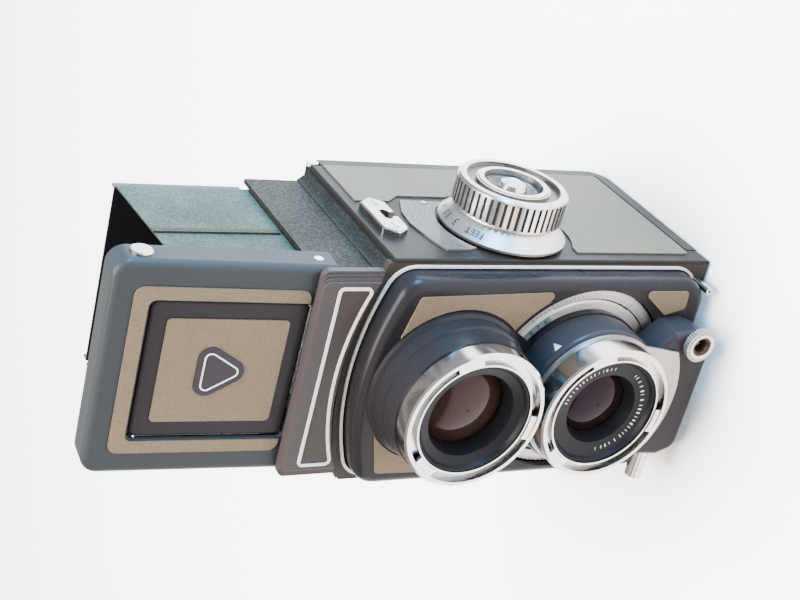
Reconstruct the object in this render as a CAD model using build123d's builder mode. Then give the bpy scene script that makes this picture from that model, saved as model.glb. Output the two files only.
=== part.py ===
from build123d import *

import os
from math import cos, radians, sin

# Twin lens reflex camera for 4 x 4 cm frames on 127 roll film.
# Millimetres. +Z is up, the lenses look along -Y and the focus knob is on the +X side.
# The origin is the mouth of the tripod socket, in the middle of the base.

os.makedirs("parts", exist_ok=True)

# ---------------------------------------------------------------- driving dimensions
BODY_W = 67.0          # over both side plates
BODY_H = 100.8         # base to the top of the side plates
FRONT_Y = -30.0        # front face of the body
CASE_BACK_Y = 25.5     # where the hinged back begins
BACK_Y = 29.2          # outer face of the hinged back
PLATE_T = 1.0          # side plate
LEATHER_T = 0.4        # leatherette covering
DOOR_T = 3.6           # wall of the hinged back
DOOR_FRONT_Y = -23.0   # front end of the door's bottom
DOOR_FOOT = 9.0        # the base plate turns up to this height and the back stands on it

BOARD_W = 61.6         # lens board
BOARD_BOTTOM = 3.3
BOARD_SHOULDER = 98.4  # height of the board's sides before its corners are rounded
BOARD_CROWN = 105.0    # top of the board's arch
BOARD_FACE_Y = -37.0
BOARD_SKIRT_Y = -24.0  # the board's walls reach this far into the body
FOCUS_TRAVEL = 4.3     # board travel from infinity to 0.9 m
RELEASE_TRAVEL = 3.0   # stroke of the shutter release

TAKING_Z = 39.7        # lens axes above the base
VIEWING_Z = 80.2
RING_FRONT_Y = -54.2   # front of both bayonet rings
RING_R = 20.0
FILM_Y = 16.0          # film plane, 60 mm behind the taking lens

KNOB_Y, KNOB_Z = -12.3, 60.0       # focus knob axis
KNOB_R, KNOB_OUT = 15.3, 14.2      # rim radius, height over the side plate
TAKEUP_Y, TAKEUP_Z = 13.5, 74.5    # take-up spool and advance knob axis
SUPPLY_Y, SUPPLY_Z = -7.0, 14.3    # supply spool axis
SPOOL_R, SPOOL_L = 10.2, 51.4      # 127 film spool
CHAMBER_R, CHAMBER_W = 11.2, 52.6  # room around a spool
ROLLER_R = 1.5
ROLLERS = ((14.5, 16.8), (14.5, 62.2))
FIT = 0.05             # radial clearance of a running fit

HOOD_W = 58.0          # hood base frame
HOOD_FRONT_Y, HOOD_REAR_Y = -26.4, 24.6
HOOD_TOP = 120.0
HOOD_WALL = 1.2
LID_W, LID_T = 60.0, 1.2
LID_LEAN = 3.5         # degrees, the open lid leans back
LID_PIVOT_Y, LID_PIVOT_Z = -23.0, 118.0
LEAF_TOP = 156.5
LEAF_T = 0.6
DOOR_PIVOT_Y, DOOR_PIVOT_Z = 27.5, 99.3

SIDE_X = BODY_W / 2
CASE_X = SIDE_X - PLATE_T
HOOD_X = HOOD_W / 2
LEAF_X = 26.8          # middle of an upright side leaf
LEAF_HINGE_Z = {1: 113.4, -1: 111.4}   # right leaf, left leaf: they lie on each other when folded
REAR_HINGE_Y, REAR_HINGE_Z = 22.8, 118.8

TAKING_AXIS = Axis((0, 0, TAKING_Z), (0, 1, 0))
VIEWING_AXIS = Axis((0, 0, VIEWING_Z), (0, 1, 0))
LEAN = radians(LID_LEAN)
OUTWARD = Axis((0, 0, 0), (0, -cos(LEAN), sin(LEAN)))   # out of the leaning lid's face
LID_PLANE = Plane(origin=(0, LID_PIVOT_Y, LID_PIVOT_Z), x_dir=(1, 0, 0), z_dir=(0, -cos(LEAN), sin(LEAN)))


# ---------------------------------------------------------------- helpers
def save(builder, name):
    """Label a finished piece and write it to its own file."""
    builder.part.label = name
    export_step(builder.part, f"parts/{name}.step")


def front_plane(y):
    """Sketch plane at depth y: local x is X, local y is Z, extruding goes towards the viewer."""
    return Plane.XZ.offset(-y)


def side_plane(x):
    """Sketch plane at width x: local x is Y, local y is Z, extruding goes towards +X."""
    return Plane.YZ.offset(x)


def turned(profile, axis):
    """Solid of revolution about a lens axis, from (y, radius) points."""
    axis_z = axis.position.Z
    with BuildPart() as piece:
        with BuildSketch(Plane.YZ.offset(axis.position.X)):
            with BuildLine():
                Polyline(*[(y, axis_z + r) for y, r in profile], close=True)
            make_face()
        revolve(axis=axis)
    return piece


def turned_across(profile, y, z):
    """Solid of revolution about an axis along X at (y, z), from (x, radius) points."""
    with BuildPart() as piece:
        with BuildSketch(front_plane(y)):
            with BuildLine():
                Polyline(*[(x, z + r) for x, r in profile], close=True)
            make_face()
        revolve(axis=Axis((0, y, z), (1, 0, 0)))
    return piece


def board_outline(grow):
    """Face of the lens board's outline, grown evenly, in a front sketch."""
    half, low = BOARD_W / 2 + grow, BOARD_BOTTOM - grow
    shoulder, crown = BOARD_SHOULDER + grow, BOARD_CROWN + grow
    with BuildLine() as outline:
        Polyline((-half, shoulder), (-half, low), (half, low), (half, shoulder))
        ThreePointArc((half, shoulder), (0, crown), (-half, shoulder))
    make_face(outline.edges())


def round_board(sketch, grow):
    """Round the four corners of a board outline."""
    fillet(sketch.vertices().group_by(Axis.Y)[0], 8.0 + grow)
    fillet(sketch.vertices().group_by(Axis.Y)[-1], 7 + grow)


# ---------------------------------------------------------------- body
with BuildPart() as main_casing:
    with BuildSketch(side_plane(-CASE_X)):
        with BuildLine():
            Polyline((FRONT_Y + 2, 0), (FRONT_Y + 2, BODY_H), (CASE_BACK_Y, BODY_H),
                     (CASE_BACK_Y, DOOR_T + 0.1), (DOOR_FRONT_Y - 0.1, DOOR_T + 0.1),
                     (DOOR_FRONT_Y - 0.1, 0), close=True)
        make_face()
    extrude(amount=2 * CASE_X)
    with BuildSketch(front_plane(-20)) as board_well:
        board_outline(0.6)
        round_board(board_well, 0.6)
    extrude(amount=12, mode=Mode.SUBTRACT)
    # exposure chamber, narrowing from the film gate to the taking lens
    with BuildSketch(side_plane(-20.5)):
        with BuildLine():
            Polyline((FILM_Y, 19.2), (FILM_Y, 60.2), (-21, 52), (-21, 29.5), close=True)
        make_face()
    extrude(amount=41, mode=Mode.SUBTRACT)
    # mirror chamber, in front of and over the 45 degree mirror
    with BuildSketch(side_plane(-24)):
        with BuildLine():
            Polyline((-21, 62), (-21, BODY_H + 1), (18, BODY_H + 1), (18, 99), (-18, 63), (-18, 62),
                     close=True)
        make_face()
    extrude(amount=48, mode=Mode.SUBTRACT)
    # spool chambers, the film channel between them and the rollers' pockets
    with BuildSketch(side_plane(-CHAMBER_W / 2)):
        with Locations((TAKEUP_Y, TAKEUP_Z), (SUPPLY_Y, SUPPLY_Z)):
            Circle(CHAMBER_R)
        with Locations(((TAKEUP_Y + CASE_BACK_Y) / 2 + 0.5, TAKEUP_Z)):
            Rectangle(CASE_BACK_Y - TAKEUP_Y + 1, 2 * CHAMBER_R)
        with Locations((SUPPLY_Y, SUPPLY_Z / 2)):
            Rectangle(2 * CHAMBER_R, SUPPLY_Z)
        with Locations(((SUPPLY_Y + CASE_BACK_Y) / 2 + 0.5, 5)):
            Rectangle(CASE_BACK_Y - SUPPLY_Y + 1, 10)
        with Locations(((FILM_Y + CASE_BACK_Y) / 2 + 0.5, 37)):
            Rectangle(CASE_BACK_Y - FILM_Y + 1, 60)
        with Locations(*ROLLERS):
            Circle(ROLLER_R + 0.4)
            with Locations((1.5, 0)):
                Rectangle(3, 2 * ROLLER_R + 0.8)
    extrude(amount=CHAMBER_W, mode=Mode.SUBTRACT)
    # room for the top of the tripod bush as the back swings away
    with BuildSketch(Plane.XY.offset(DOOR_T)):
        with Locations((0, 4)):
            Rectangle(14, 20)
    extrude(amount=1.2, mode=Mode.SUBTRACT)
    # gear pockets in both side walls
    with BuildSketch(side_plane(28.5)):
        with Locations((KNOB_Y, KNOB_Z)):
            Circle(12.6)
    extrude(amount=6, mode=Mode.SUBTRACT)
    with BuildSketch(side_plane(-28.5)):
        with Locations((TAKEUP_Y - 2, TAKEUP_Z)):
            Circle(9.6)
        with Locations((TAKEUP_Y - 13.2, TAKEUP_Z - 8)):
            Circle(5.6)
    extrude(amount=-6, mode=Mode.SUBTRACT)
    # bores: focus shaft, advance shaft, spool pin, supply spool knob, four guide rods
    with Locations(Location((24, KNOB_Y, KNOB_Z), (0, -90, 0))):
        Hole(2.5 + FIT, depth=10)
    with Locations(Location((-33, TAKEUP_Y, TAKEUP_Z), (0, -90, 0))):
        Hole(2.5 + FIT, depth=12)
    with Locations(Location((24, TAKEUP_Y, TAKEUP_Z), (0, -90, 0))):
        Hole(1.6, depth=7)
    with Locations(Location((24, SUPPLY_Y, SUPPLY_Z), (0, -90, 0))):
        Hole(1.6, depth=7)
    with Locations(Location((-33, SUPPLY_Y, SUPPLY_Z), (0, -90, 0))):
        Hole(2.5 + FIT, depth=12)
    for rod_x in (-28.2, 28.2):
        for rod_z in (20, 91):
            with Locations(Location((rod_x, -20, rod_z), (90, 0, 0))):
                Hole(1.2 + FIT, depth=14)
    # door hinge knuckles, one at each end
    for end in (-1, 1):
        with BuildSketch(side_plane(end * 27.5 - 5)):
            with Locations((DOOR_PIVOT_Y, DOOR_PIVOT_Z)):
                Circle(1.6)
            with Locations((DOOR_PIVOT_Y - 1.3, DOOR_PIVOT_Z)):
                Rectangle(2.6, 3.0)
            with Locations((DOOR_PIVOT_Y, DOOR_PIVOT_Z)):
                Circle(0.8, mode=Mode.SUBTRACT)
        extrude(amount=10)
save(main_casing, "main_casing")

with BuildPart() as front_plate:
    with BuildSketch(front_plane(FRONT_Y + 2)):
        with BuildLine():
            Polyline((-CASE_X, 101.8), (-CASE_X, 0), (CASE_X, 0), (CASE_X, 101.8))
            ThreePointArc((CASE_X, 101.8), (0, 107.8), (-CASE_X, 101.8))
        make_face()
    extrude(amount=2)
    with BuildSketch(front_plane(FRONT_Y + 2)) as board_opening:
        board_outline(0.3)
        round_board(board_opening, 0.3)
    extrude(amount=2, mode=Mode.SUBTRACT)
save(front_plate, "front_plate")

with BuildPart() as side_plates:
    for side in (-1, 1):
        with BuildSketch(side_plane(side * CASE_X)):
            with BuildLine():
                Polyline((FRONT_Y, 0), (FRONT_Y, BODY_H), (CASE_BACK_Y, BODY_H), (CASE_BACK_Y, DOOR_T + 0.1),
                         (DOOR_FRONT_Y - 0.1, DOOR_T + 0.1), (DOOR_FRONT_Y - 0.1, 0), close=True)
            make_face()
        extrude(amount=side * PLATE_T)
        fillet(side_plates.faces().sort_by(Axis.X)[-1 if side > 0 else 0].outer_wire().edges(), 0.6)
    for x, y, z in ((24, KNOB_Y, KNOB_Z), (-40, TAKEUP_Y, TAKEUP_Z), (-40, SUPPLY_Y, SUPPLY_Z)):
        with BuildSketch(side_plane(x)):
            with Locations((y, z)):
                Circle(2.5 + FIT)
        extrude(amount=16, mode=Mode.SUBTRACT)
save(side_plates, "side_plates")

with BuildPart() as side_leatherette:
    with BuildSketch(side_plane(SIDE_X)) as right_skin:
        with BuildLine():
            Polyline((24.9, 97.3), (24.9, 5.0), (-26.0, 5.0), (-26.0, 66), (6.3, 66), (6.3, 83.1),
                     (2.8, 87.0), (2.8, 97.3), close=True)
        make_face()
        fillet(right_skin.vertices().group_by(Axis.Y)[0], 1.5)
        with Locations((KNOB_Y, KNOB_Z)):
            Circle(20.2, mode=Mode.SUBTRACT)
        with Locations((-24, 56)):
            Rectangle(8, 26, mode=Mode.SUBTRACT)
    extrude(amount=LEATHER_T)
    with BuildSketch(side_plane(-SIDE_X)):
        with Locations((-0.55, 51.2)):
            RectangleRounded(50.9, 92.4, 1.5)
        with Locations((TAKEUP_Y, TAKEUP_Z)):
            Circle(12.2, mode=Mode.SUBTRACT)
        with Locations((SUPPLY_Y, SUPPLY_Z)):
            Circle(7.4, mode=Mode.SUBTRACT)
        with Locations((-8.4, 94.4)):
            Rectangle(24, 10, mode=Mode.SUBTRACT)
        with Locations((-12, 74.5)):
            Circle(5.2, mode=Mode.SUBTRACT)
    extrude(amount=-LEATHER_T)
save(side_leatherette, "side_leatherette")

STUD = (28.0, 3.6)      # small stud outside the corner of the lens board
DEPTH_PLATE_RIVETS = ((1.9, 77.0), (-23.0, 78.6))
with BuildPart() as depth_plate:
    with BuildSketch(side_plane(SIDE_X)) as fan:
        with BuildLine():
            Polyline((3.6, 83.4), (-3.6, 86.3), (-10.7, 87.1), (-19.7, 85.3), (-25.2, 83.2), (-25.1, 76.4),
                     (-21.4, 66), (2.6, 66), close=True)
        make_face()
        fillet(fan.vertices().group_by(Axis.Y)[-1], 3)
        with Locations((KNOB_Y, KNOB_Z)):
            Circle(18.4, mode=Mode.SUBTRACT)
        with Locations(*DEPTH_PLATE_RIVETS):
            Circle(0.7, mode=Mode.SUBTRACT)
    extrude(amount=0.5)
save(depth_plate, "depth_plate")

with BuildPart() as strap_lugs:
    for side in (-1, 1):
        with BuildSketch(side_plane(side * SIDE_X)) as lug_shape:
            with BuildLine():
                Polyline((2.0, 94.2), (-1.0, 98.0), (-15.8, 98.0), (-18.8, 94.2), (-15.8, 90.4), (-1.0, 90.4),
                         close=True)
            make_face()
            fillet(lug_shape.vertices(), 1.0)
        extrude(amount=side * 1.9)
        chamfer(strap_lugs.faces().sort_by(Axis.X)[-1 if side > 0 else 0].edges(), 0.4)
    with BuildSketch(side_plane(-40)):
        with Locations((-8.4, 93.6)):
            SlotOverall(5.4, 2.6)
        with Locations((-8.4, 91.4)):
            Rectangle(2.6, 3.2)
        with Locations((-1.8, 94.2), (-15.0, 94.2)):
            Circle(1.5)
    extrude(amount=80, mode=Mode.SUBTRACT)
save(strap_lugs, "strap_lugs")

with BuildPart() as body_screws:
    for side in (-1, 1):
        with BuildSketch(side_plane(side * SIDE_X)):
            with Locations((-1.8, 94.2), (-15.0, 94.2)):
                Circle(1.5)
        extrude(amount=side * 2.0)
        with BuildSketch(side_plane(side * (SIDE_X + 1.5))):
            with Locations((-1.8, 94.2), (-15.0, 94.2)):
                Rectangle(3.2, 0.45, rotation=25)
        extrude(amount=side * 0.6, mode=Mode.SUBTRACT)
    with BuildSketch(side_plane(SIDE_X)):
        with Locations(*DEPTH_PLATE_RIVETS):
            Circle(0.7)
    extrude(amount=0.8)
    with BuildSketch(front_plane(FRONT_Y)):
        with Locations(STUD):
            Circle(1.1)
    extrude(amount=7.5)
    with BuildSketch(front_plane(FRONT_Y - 6.5)):
        with Locations(STUD):
            Circle(0.5)
    extrude(amount=1.2, mode=Mode.SUBTRACT)
save(body_screws, "body_screws")

# half width, height of its foot's corners and thickness of each step of the nameplate
PLATE_STEPS = ((30.4, 102.8, 2.0), (29.6, 103.2, 2.5), (28.8, 103.6, 3.0), (28.0, 103.9, 3.4))
with BuildPart() as nameplate:
    for half, foot_z, depth in PLATE_STEPS:
        with BuildSketch(front_plane(-28.6)) as plate_shape:
            with BuildLine():
                Polyline((-half, foot_z), (-half, 119.6), (half, 119.6), (half, foot_z))
                ThreePointArc((half, foot_z), (0, 109.0), (-half, foot_z))
            make_face()
            fillet(plate_shape.vertices().group_by(Axis.Y)[-1], 2.0)
        extrude(amount=depth)
    fillet(nameplate.faces().sort_by(Axis.Y)[0].outer_wire().edges(), 0.3)
save(nameplate, "nameplate")

with BuildPart() as front_trim:
    with BuildSketch(front_plane(FRONT_Y)) as trim_outer:
        board_outline(1.1)
        round_board(trim_outer, 1.1)
        with Locations(STUD):
            Circle(1.2, mode=Mode.SUBTRACT)
    extrude(amount=0.5)
    with BuildSketch(front_plane(FRONT_Y)) as trim_inner:
        board_outline(0.4)
        round_board(trim_inner, 0.4)
    extrude(amount=0.5, mode=Mode.SUBTRACT)
    with BuildSketch(front_plane(-32.0)) as panel:
        with BuildLine():
            Polyline((-26.6, 105.2), (-26.6, 115.4), (26.6, 115.4), (26.6, 105.2))
            ThreePointArc((26.6, 105.2), (0, 110.2), (-26.6, 105.2))
        make_face()
        fillet(panel.vertices(), 1.6)
        offset(panel.sketch, amount=-0.8, mode=Mode.SUBTRACT)
    extrude(amount=0.35)
save(front_trim, "front_trim")

with BuildPart() as mirror:
    with BuildSketch(Plane(origin=(0, 0.75, 81.75), x_dir=(1, 0, 0), z_dir=(0, -1, 1))):
        Rectangle(46, 46)
    extrude(amount=1.2)
save(mirror, "mirror")

with BuildPart() as focusing_screen:
    with Locations((0, -1.2, 103.1)):
        Box(45, 42, 1.2, align=(Align.CENTER, Align.CENTER, Align.MIN))
    with BuildSketch(Plane.YZ):
        with BuildLine():
            Polyline((-22.2, 104.35), (19.8, 104.35), (19.8, 105.0))
            ThreePointArc((19.8, 105.0), (-1.2, 106.6), (-22.2, 105.0))
            Line((-22.2, 105.0), (-22.2, 104.35))
        make_face()
    extrude(amount=22.5, both=True)
save(focusing_screen, "focusing_screen")

with BuildPart() as screen_frame:
    with BuildSketch(Plane.XY.offset(BODY_H)):
        with Locations((0, -0.9)):
            Rectangle(54, 47)
    extrude(amount=6.0)
    with BuildSketch(Plane.XY.offset(103.1)):
        with Locations((0, -1.2)):
            Rectangle(45.2, 42.2)
    extrude(amount=5, mode=Mode.SUBTRACT)
    with BuildSketch(Plane.XY.offset(BODY_H)):
        with Locations((0, -1.2)):
            Rectangle(41, 38)
    extrude(amount=3, mode=Mode.SUBTRACT)
save(screen_frame, "screen_frame")

with BuildPart() as film_guides:
    with BuildSketch(side_plane(-25.8)):
        with Locations(*ROLLERS):
            Circle(ROLLER_R)
    extrude(amount=51.6)
    with BuildSketch(side_plane(22)):
        with Locations((TAKEUP_Y, TAKEUP_Z), (SUPPLY_Y, SUPPLY_Z)):
            Circle(1.6)
    extrude(amount=9)
save(film_guides, "film_guides")

# ---------------------------------------------------------------- hinged back
with BuildPart() as back_door:
    with BuildSketch(side_plane(-SIDE_X)):
        with BuildLine():
            Polyline((CASE_BACK_Y + 0.1, DOOR_FOOT), (CASE_BACK_Y + 0.1, 97.4), (BACK_Y, 97.4),
                     (BACK_Y, DOOR_FOOT), close=True)
        make_face()
    extrude(amount=BODY_W)
    with BuildSketch(side_plane(-22.3)):
        with Locations((DOOR_PIVOT_Y, DOOR_PIVOT_Z)):
            Circle(1.6)
        with Locations((DOOR_PIVOT_Y, DOOR_PIVOT_Z - 1.2)):
            Rectangle(3.0, 2.4)
        with Locations((DOOR_PIVOT_Y, DOOR_PIVOT_Z)):
            Circle(0.8 + FIT, mode=Mode.SUBTRACT)
    extrude(amount=44.6)
save(back_door, "back_door")

with BuildPart() as base_plate:
    with BuildSketch(side_plane(-SIDE_X)) as base_profile:
        with BuildLine():
            Polyline((DOOR_FRONT_Y, 0), (BACK_Y, 0), (BACK_Y, DOOR_FOOT), (CASE_BACK_Y + 0.1, DOOR_FOOT),
                     (CASE_BACK_Y + 0.1, DOOR_T), (DOOR_FRONT_Y, DOOR_T), close=True)
        make_face()
        corner = base_profile.vertices().group_by(Axis.Y)[0].sort_by(Axis.X)[-1]
        fillet(corner, 6)
    extrude(amount=BODY_W)
    with BuildSketch(Plane.XY):
        Circle(9.2)
    extrude(amount=1.0, mode=Mode.SUBTRACT)
    with BuildSketch(Plane.XY):
        Circle(5.5)
    extrude(amount=DOOR_T, mode=Mode.SUBTRACT)
save(base_plate, "base_plate")

with BuildPart() as back_leatherette:
    with BuildSketch(front_plane(BACK_Y)):
        with Locations((0, 51.5)):
            RectangleRounded(61, 86, 2)
    extrude(amount=-LEATHER_T)
save(back_leatherette, "back_leatherette")

with BuildPart() as pressure_plate:
    with BuildSketch(front_plane(FILM_Y + 4.4)):
        with Locations((0, TAKING_Z)):
            RectangleRounded(47, 46, 3)
    extrude(amount=1.2)
    for spring_z in (TAKING_Z - 15, TAKING_Z + 15):
        with BuildSketch(side_plane(-4)):
            with BuildLine():
                Polyline((FILM_Y + 4.4, spring_z - 5), (FILM_Y + 4.4, spring_z + 5),
                         (FILM_Y + 4.8, spring_z + 5), (CASE_BACK_Y + 0.1, spring_z + 1), (CASE_BACK_Y + 0.1, spring_z - 1),
                         (FILM_Y + 4.8, spring_z - 5), close=True)
            make_face()
        extrude(amount=8)
save(pressure_plate, "pressure_plate")

with BuildPart() as tripod_bush:
    with BuildSketch(Plane.XY):
        Circle(5.5)
        Circle(3.05, mode=Mode.SUBTRACT)
    extrude(amount=4.0)
save(tripod_bush, "tripod_bush")

with BuildPart() as back_latch:
    with BuildSketch(Plane.XY.offset(-0.4)):
        Circle(9.0)
        with Locations((10, 0)):
            RectangleRounded(8, 6, 1.2)
        Circle(5.6, mode=Mode.SUBTRACT)
    extrude(amount=0.35)
    with BuildSketch(Plane.XY.offset(-0.05)):
        Circle(9.0)
        Circle(5.6, mode=Mode.SUBTRACT)
    extrude(amount=1.0)
save(back_latch, "back_latch")

with BuildPart() as feet:
    with BuildSketch(Plane.XY.offset(-0.8)):
        with Locations((-26, -20), (26, -20), (-26, 20), (26, 20)):
            Circle(2.6)
    extrude(amount=0.8)
    chamfer(feet.faces().group_by(Axis.Z)[0].edges(), 0.3)
save(feet, "feet")

# ---------------------------------------------------------------- film transport
def film_spool(y, z):
    """127 film spool with two flanges and keyed end sockets."""
    half = SPOOL_L / 2
    profile = [(-half, 2.3), (-half, SPOOL_R), (-half + 1, SPOOL_R), (-half + 1, 3.6), (half - 1, 3.6),
               (half - 1, SPOOL_R), (half, SPOOL_R), (half, 2.3)]
    return turned_across(profile, y, z)


save(film_spool(TAKEUP_Y, TAKEUP_Z), "take_up_spool")
save(film_spool(SUPPLY_Y, SUPPLY_Z), "supply_spool")

with BuildPart() as advance_shaft:
    add(turned_across([(-41.0, 0), (-41.0, 2.5), (-26.3, 2.5), (-26.3, 2.0), (-21, 2.0), (-21, 0)],
                      TAKEUP_Y, TAKEUP_Z).part)
    add(turned_across([(-31.8, 2.5), (-31.8, 7.2), (-29.2, 7.2), (-29.2, 2.5)], TAKEUP_Y, TAKEUP_Z).part)
    add(turned_across([(-41.1, 0), (-41.1, 4.6), (-41.7, 4.6), (-42.3, 2.6), (-42.5, 0)],
                      TAKEUP_Y, TAKEUP_Z).part)
save(advance_shaft, "advance_shaft")


def ribbed_knob(x0, x1, y, z, rim_r, ribs, side):
    """Knob with straight ribs around its rim, its face dished; x0 is the foot, x1 the face."""
    with BuildPart() as knob:
        with BuildSketch(side_plane(side * x0)):
            with Locations((y, z)):
                Circle(rim_r)
        extrude(amount=side * (x1 - x0))
        face = knob.faces().sort_by(Axis.X)[-1 if side > 0 else 0]
        chamfer(face.outer_wire().edges(), 0.5)
        with BuildSketch(side_plane(side * (x0 - 0.1))):
            with Locations((y, z)):
                with PolarLocations(rim_r, ribs):
                    Circle(rim_r * 2.2 / ribs)
        extrude(amount=side * (x1 - x0 - 0.7), mode=Mode.SUBTRACT)
        with BuildSketch(side_plane(side * x1)):
            with Locations((y, z)):
                Circle(rim_r - 2.2)
        extrude(amount=-side * 0.9, mode=Mode.SUBTRACT)
        with BuildSketch(side_plane(side * x1)):
            with Locations((y, z)):
                Circle(2.5)
        extrude(amount=-side * 20, mode=Mode.SUBTRACT)
    return knob


save(ribbed_knob(35.6, 42.0, TAKEUP_Y, TAKEUP_Z, 11.2, 38, -1), "advance_knob")

supply_knob = turned_across([(-39.0, 0), (-39.0, 5.4), (-38.4, 6.2), (-34.2, 6.2), (-34.2, 2.5), (-26.5, 2.5),
                             (-26.5, 2.0), (-22.5, 2.0), (-22.5, 0)], SUPPLY_Y, SUPPLY_Z)
save(supply_knob, "supply_spool_knob")

counter_window = turned_across([(-34.4, 0), (-34.4, 3.6), (-33.5, 4.4), (-33.5, 0)], -12, TAKEUP_Z)
save(counter_window, "counter_window")

# ---------------------------------------------------------------- focus drive
with BuildPart() as focus_shaft:
    add(turned_across([(27.5, 0), (27.5, 2.5), (44.2, 2.5), (44.2, 0)], KNOB_Y, KNOB_Z).part)
    add(turned_across([(29.2, 2.5), (29.2, 11.0), (31.6, 11.0), (31.6, 2.5)], KNOB_Y, KNOB_Z).part)
    add(turned_across([(45.7, 0), (45.7, 3.9), (46.2, 4.1), (47.4, 3.4), (48.1, 1.8), (48.3, 0)],
                      KNOB_Y, KNOB_Z).part)
save(focus_shaft, "focus_shaft")

FLANGE_FOOT_X = SIDE_X + 0.8
KNOB_FOOT_X, KNOB_FACE_X = SIDE_X + 6.4, SIDE_X + KNOB_OUT
distance_flange = turned_across([(FLANGE_FOOT_X, 2.5), (FLANGE_FOOT_X, 17.6), (FLANGE_FOOT_X + 0.8, 17.8),
                                 (KNOB_FOOT_X - 0.9, 14.0), (KNOB_FOOT_X, 13.6), (KNOB_FOOT_X, 2.5)],
                                KNOB_Y, KNOB_Z)
save(distance_flange, "distance_flange")

with BuildPart() as focus_knob:
    with BuildSketch(side_plane(KNOB_FOOT_X)):
        with Locations((KNOB_Y, KNOB_Z)):
            Circle(KNOB_R)
            with PolarLocations(KNOB_R + 0.1, 50):
                Rectangle(1.5, 0.85, mode=Mode.SUBTRACT)
    extrude(amount=KNOB_FACE_X - KNOB_FOOT_X - 0.9)
    with BuildSketch(side_plane(KNOB_FACE_X - 0.9)):
        with Locations((KNOB_Y, KNOB_Z)):
            Circle(KNOB_R - 0.2)
    extrude(amount=0.9)
    chamfer(focus_knob.faces().sort_by(Axis.X)[-1].outer_wire().edges(), 0.5)
    with BuildSketch(side_plane(KNOB_FACE_X)):
        with Locations((KNOB_Y, KNOB_Z)):
            Circle(13.0)
            Circle(9.6, mode=Mode.SUBTRACT)
    extrude(amount=-1.4, mode=Mode.SUBTRACT)
    with BuildSketch(side_plane(KNOB_FACE_X)):
        with Locations((KNOB_Y, KNOB_Z)):
            Circle(8.2)
    extrude(amount=-2.0, mode=Mode.SUBTRACT)
    with BuildSketch(side_plane(KNOB_FOOT_X)):
        with Locations((KNOB_Y, KNOB_Z)):
            Circle(2.5)
    extrude(amount=44.2 - KNOB_FOOT_X, mode=Mode.SUBTRACT)
save(focus_knob, "focus_knob")

# ---------------------------------------------------------------- lens panel
SOCKET_X, SOCKET_Z, SOCKET_R = 17.0, 10.2, 3.8   # flash socket
WINDOW_IN, WINDOW_OUT, WINDOW_ANGLE = 21.4, 28.1, 59


def ring_sector(r_in, r_out, middle, spread):
    """Part of a ring around the origin of the sketch, as a face; angles in degrees."""
    start, end = radians(middle - spread), radians(middle + spread)
    with BuildLine() as outline:
        CenterArc((0, TAKING_Z), r_out, middle - spread, 2 * spread)
        CenterArc((0, TAKING_Z), r_in, middle - spread, 2 * spread)
        for side in (start, end):
            Line((r_in * cos(side), TAKING_Z + r_in * sin(side)),
                 (r_out * cos(side), TAKING_Z + r_out * sin(side)))
    make_face(outline.edges())


with BuildPart() as lens_board:
    with BuildSketch(front_plane(BOARD_SKIRT_Y)) as board_shape:
        board_outline(0)
        round_board(board_shape, 0)
    extrude(amount=BOARD_SKIRT_Y - BOARD_FACE_Y)
    fillet(lens_board.faces().sort_by(Axis.Y)[0].outer_wire().edges(), 2.6)
    with BuildSketch(front_plane(BOARD_SKIRT_Y)) as board_inside:
        board_outline(-1.3)
        round_board(board_inside, -1.3)
    extrude(amount=BOARD_SKIRT_Y - BOARD_FACE_Y - 2.0, mode=Mode.SUBTRACT)
    # the arch above the body is a shallow tray
    with BuildSketch(front_plane(BOARD_SKIRT_Y)):
        with Locations((0, BODY_H + 4.5)):
            Rectangle(BODY_W, 10)
    extrude(amount=4.3, mode=Mode.SUBTRACT)
    with BuildSketch(front_plane(BOARD_SKIRT_Y)):
        with Locations((0, VIEWING_Z), (0, TAKING_Z)):
            Circle(17.0)
    extrude(amount=20, mode=Mode.SUBTRACT)
    for middle in (-3, 183):
        with BuildSketch(front_plane(BOARD_SKIRT_Y)):
            ring_sector(WINDOW_IN, WINDOW_OUT, middle, WINDOW_ANGLE)
        extrude(amount=20, mode=Mode.SUBTRACT)
save(lens_board, "lens_board")

with BuildPart() as board_leatherette:
    for side in (-1, 1):
        with BuildSketch(front_plane(BOARD_FACE_Y)) as upper:
            with BuildLine():
                Polyline((side * 13, 98.2), (side * 26.6, 94.8), (side * 27.8, 54.2), (side * 14, 62),
                         close=True)
            make_face()
            fillet(upper.vertices(), 1.2)
            with Locations((0, VIEWING_Z)):
                Circle(23.0, mode=Mode.SUBTRACT)
            with Locations((0, TAKING_Z)):
                Circle(WINDOW_OUT + 1.4, mode=Mode.SUBTRACT)
        extrude(amount=LEATHER_T)
        with BuildSketch(front_plane(BOARD_FACE_Y)) as lower:
            with BuildLine():
                Polyline((side * 28, 26.5), (side * 28, 10.5), (side * 22.6, 9.9), (side * 20.6, 16.5),
                         close=True)
            make_face()
            fillet(lower.vertices(), 1.2)
            with Locations((0, TAKING_Z)):
                Circle(WINDOW_OUT + 1.4, mode=Mode.SUBTRACT)
        extrude(amount=LEATHER_T)
save(board_leatherette, "board_leatherette")

viewing_collar = turned([(BOARD_FACE_Y, 16.6), (BOARD_FACE_Y, 22.6), (-38.2, 22.3), (-38.9, 21.4),
                         (-42.4, 21.2), (-43.0, 20.6), (-48.6, 20.3), (-48.6, 16.6)], VIEWING_AXIS)
save(viewing_collar, "viewing_collar")

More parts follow.
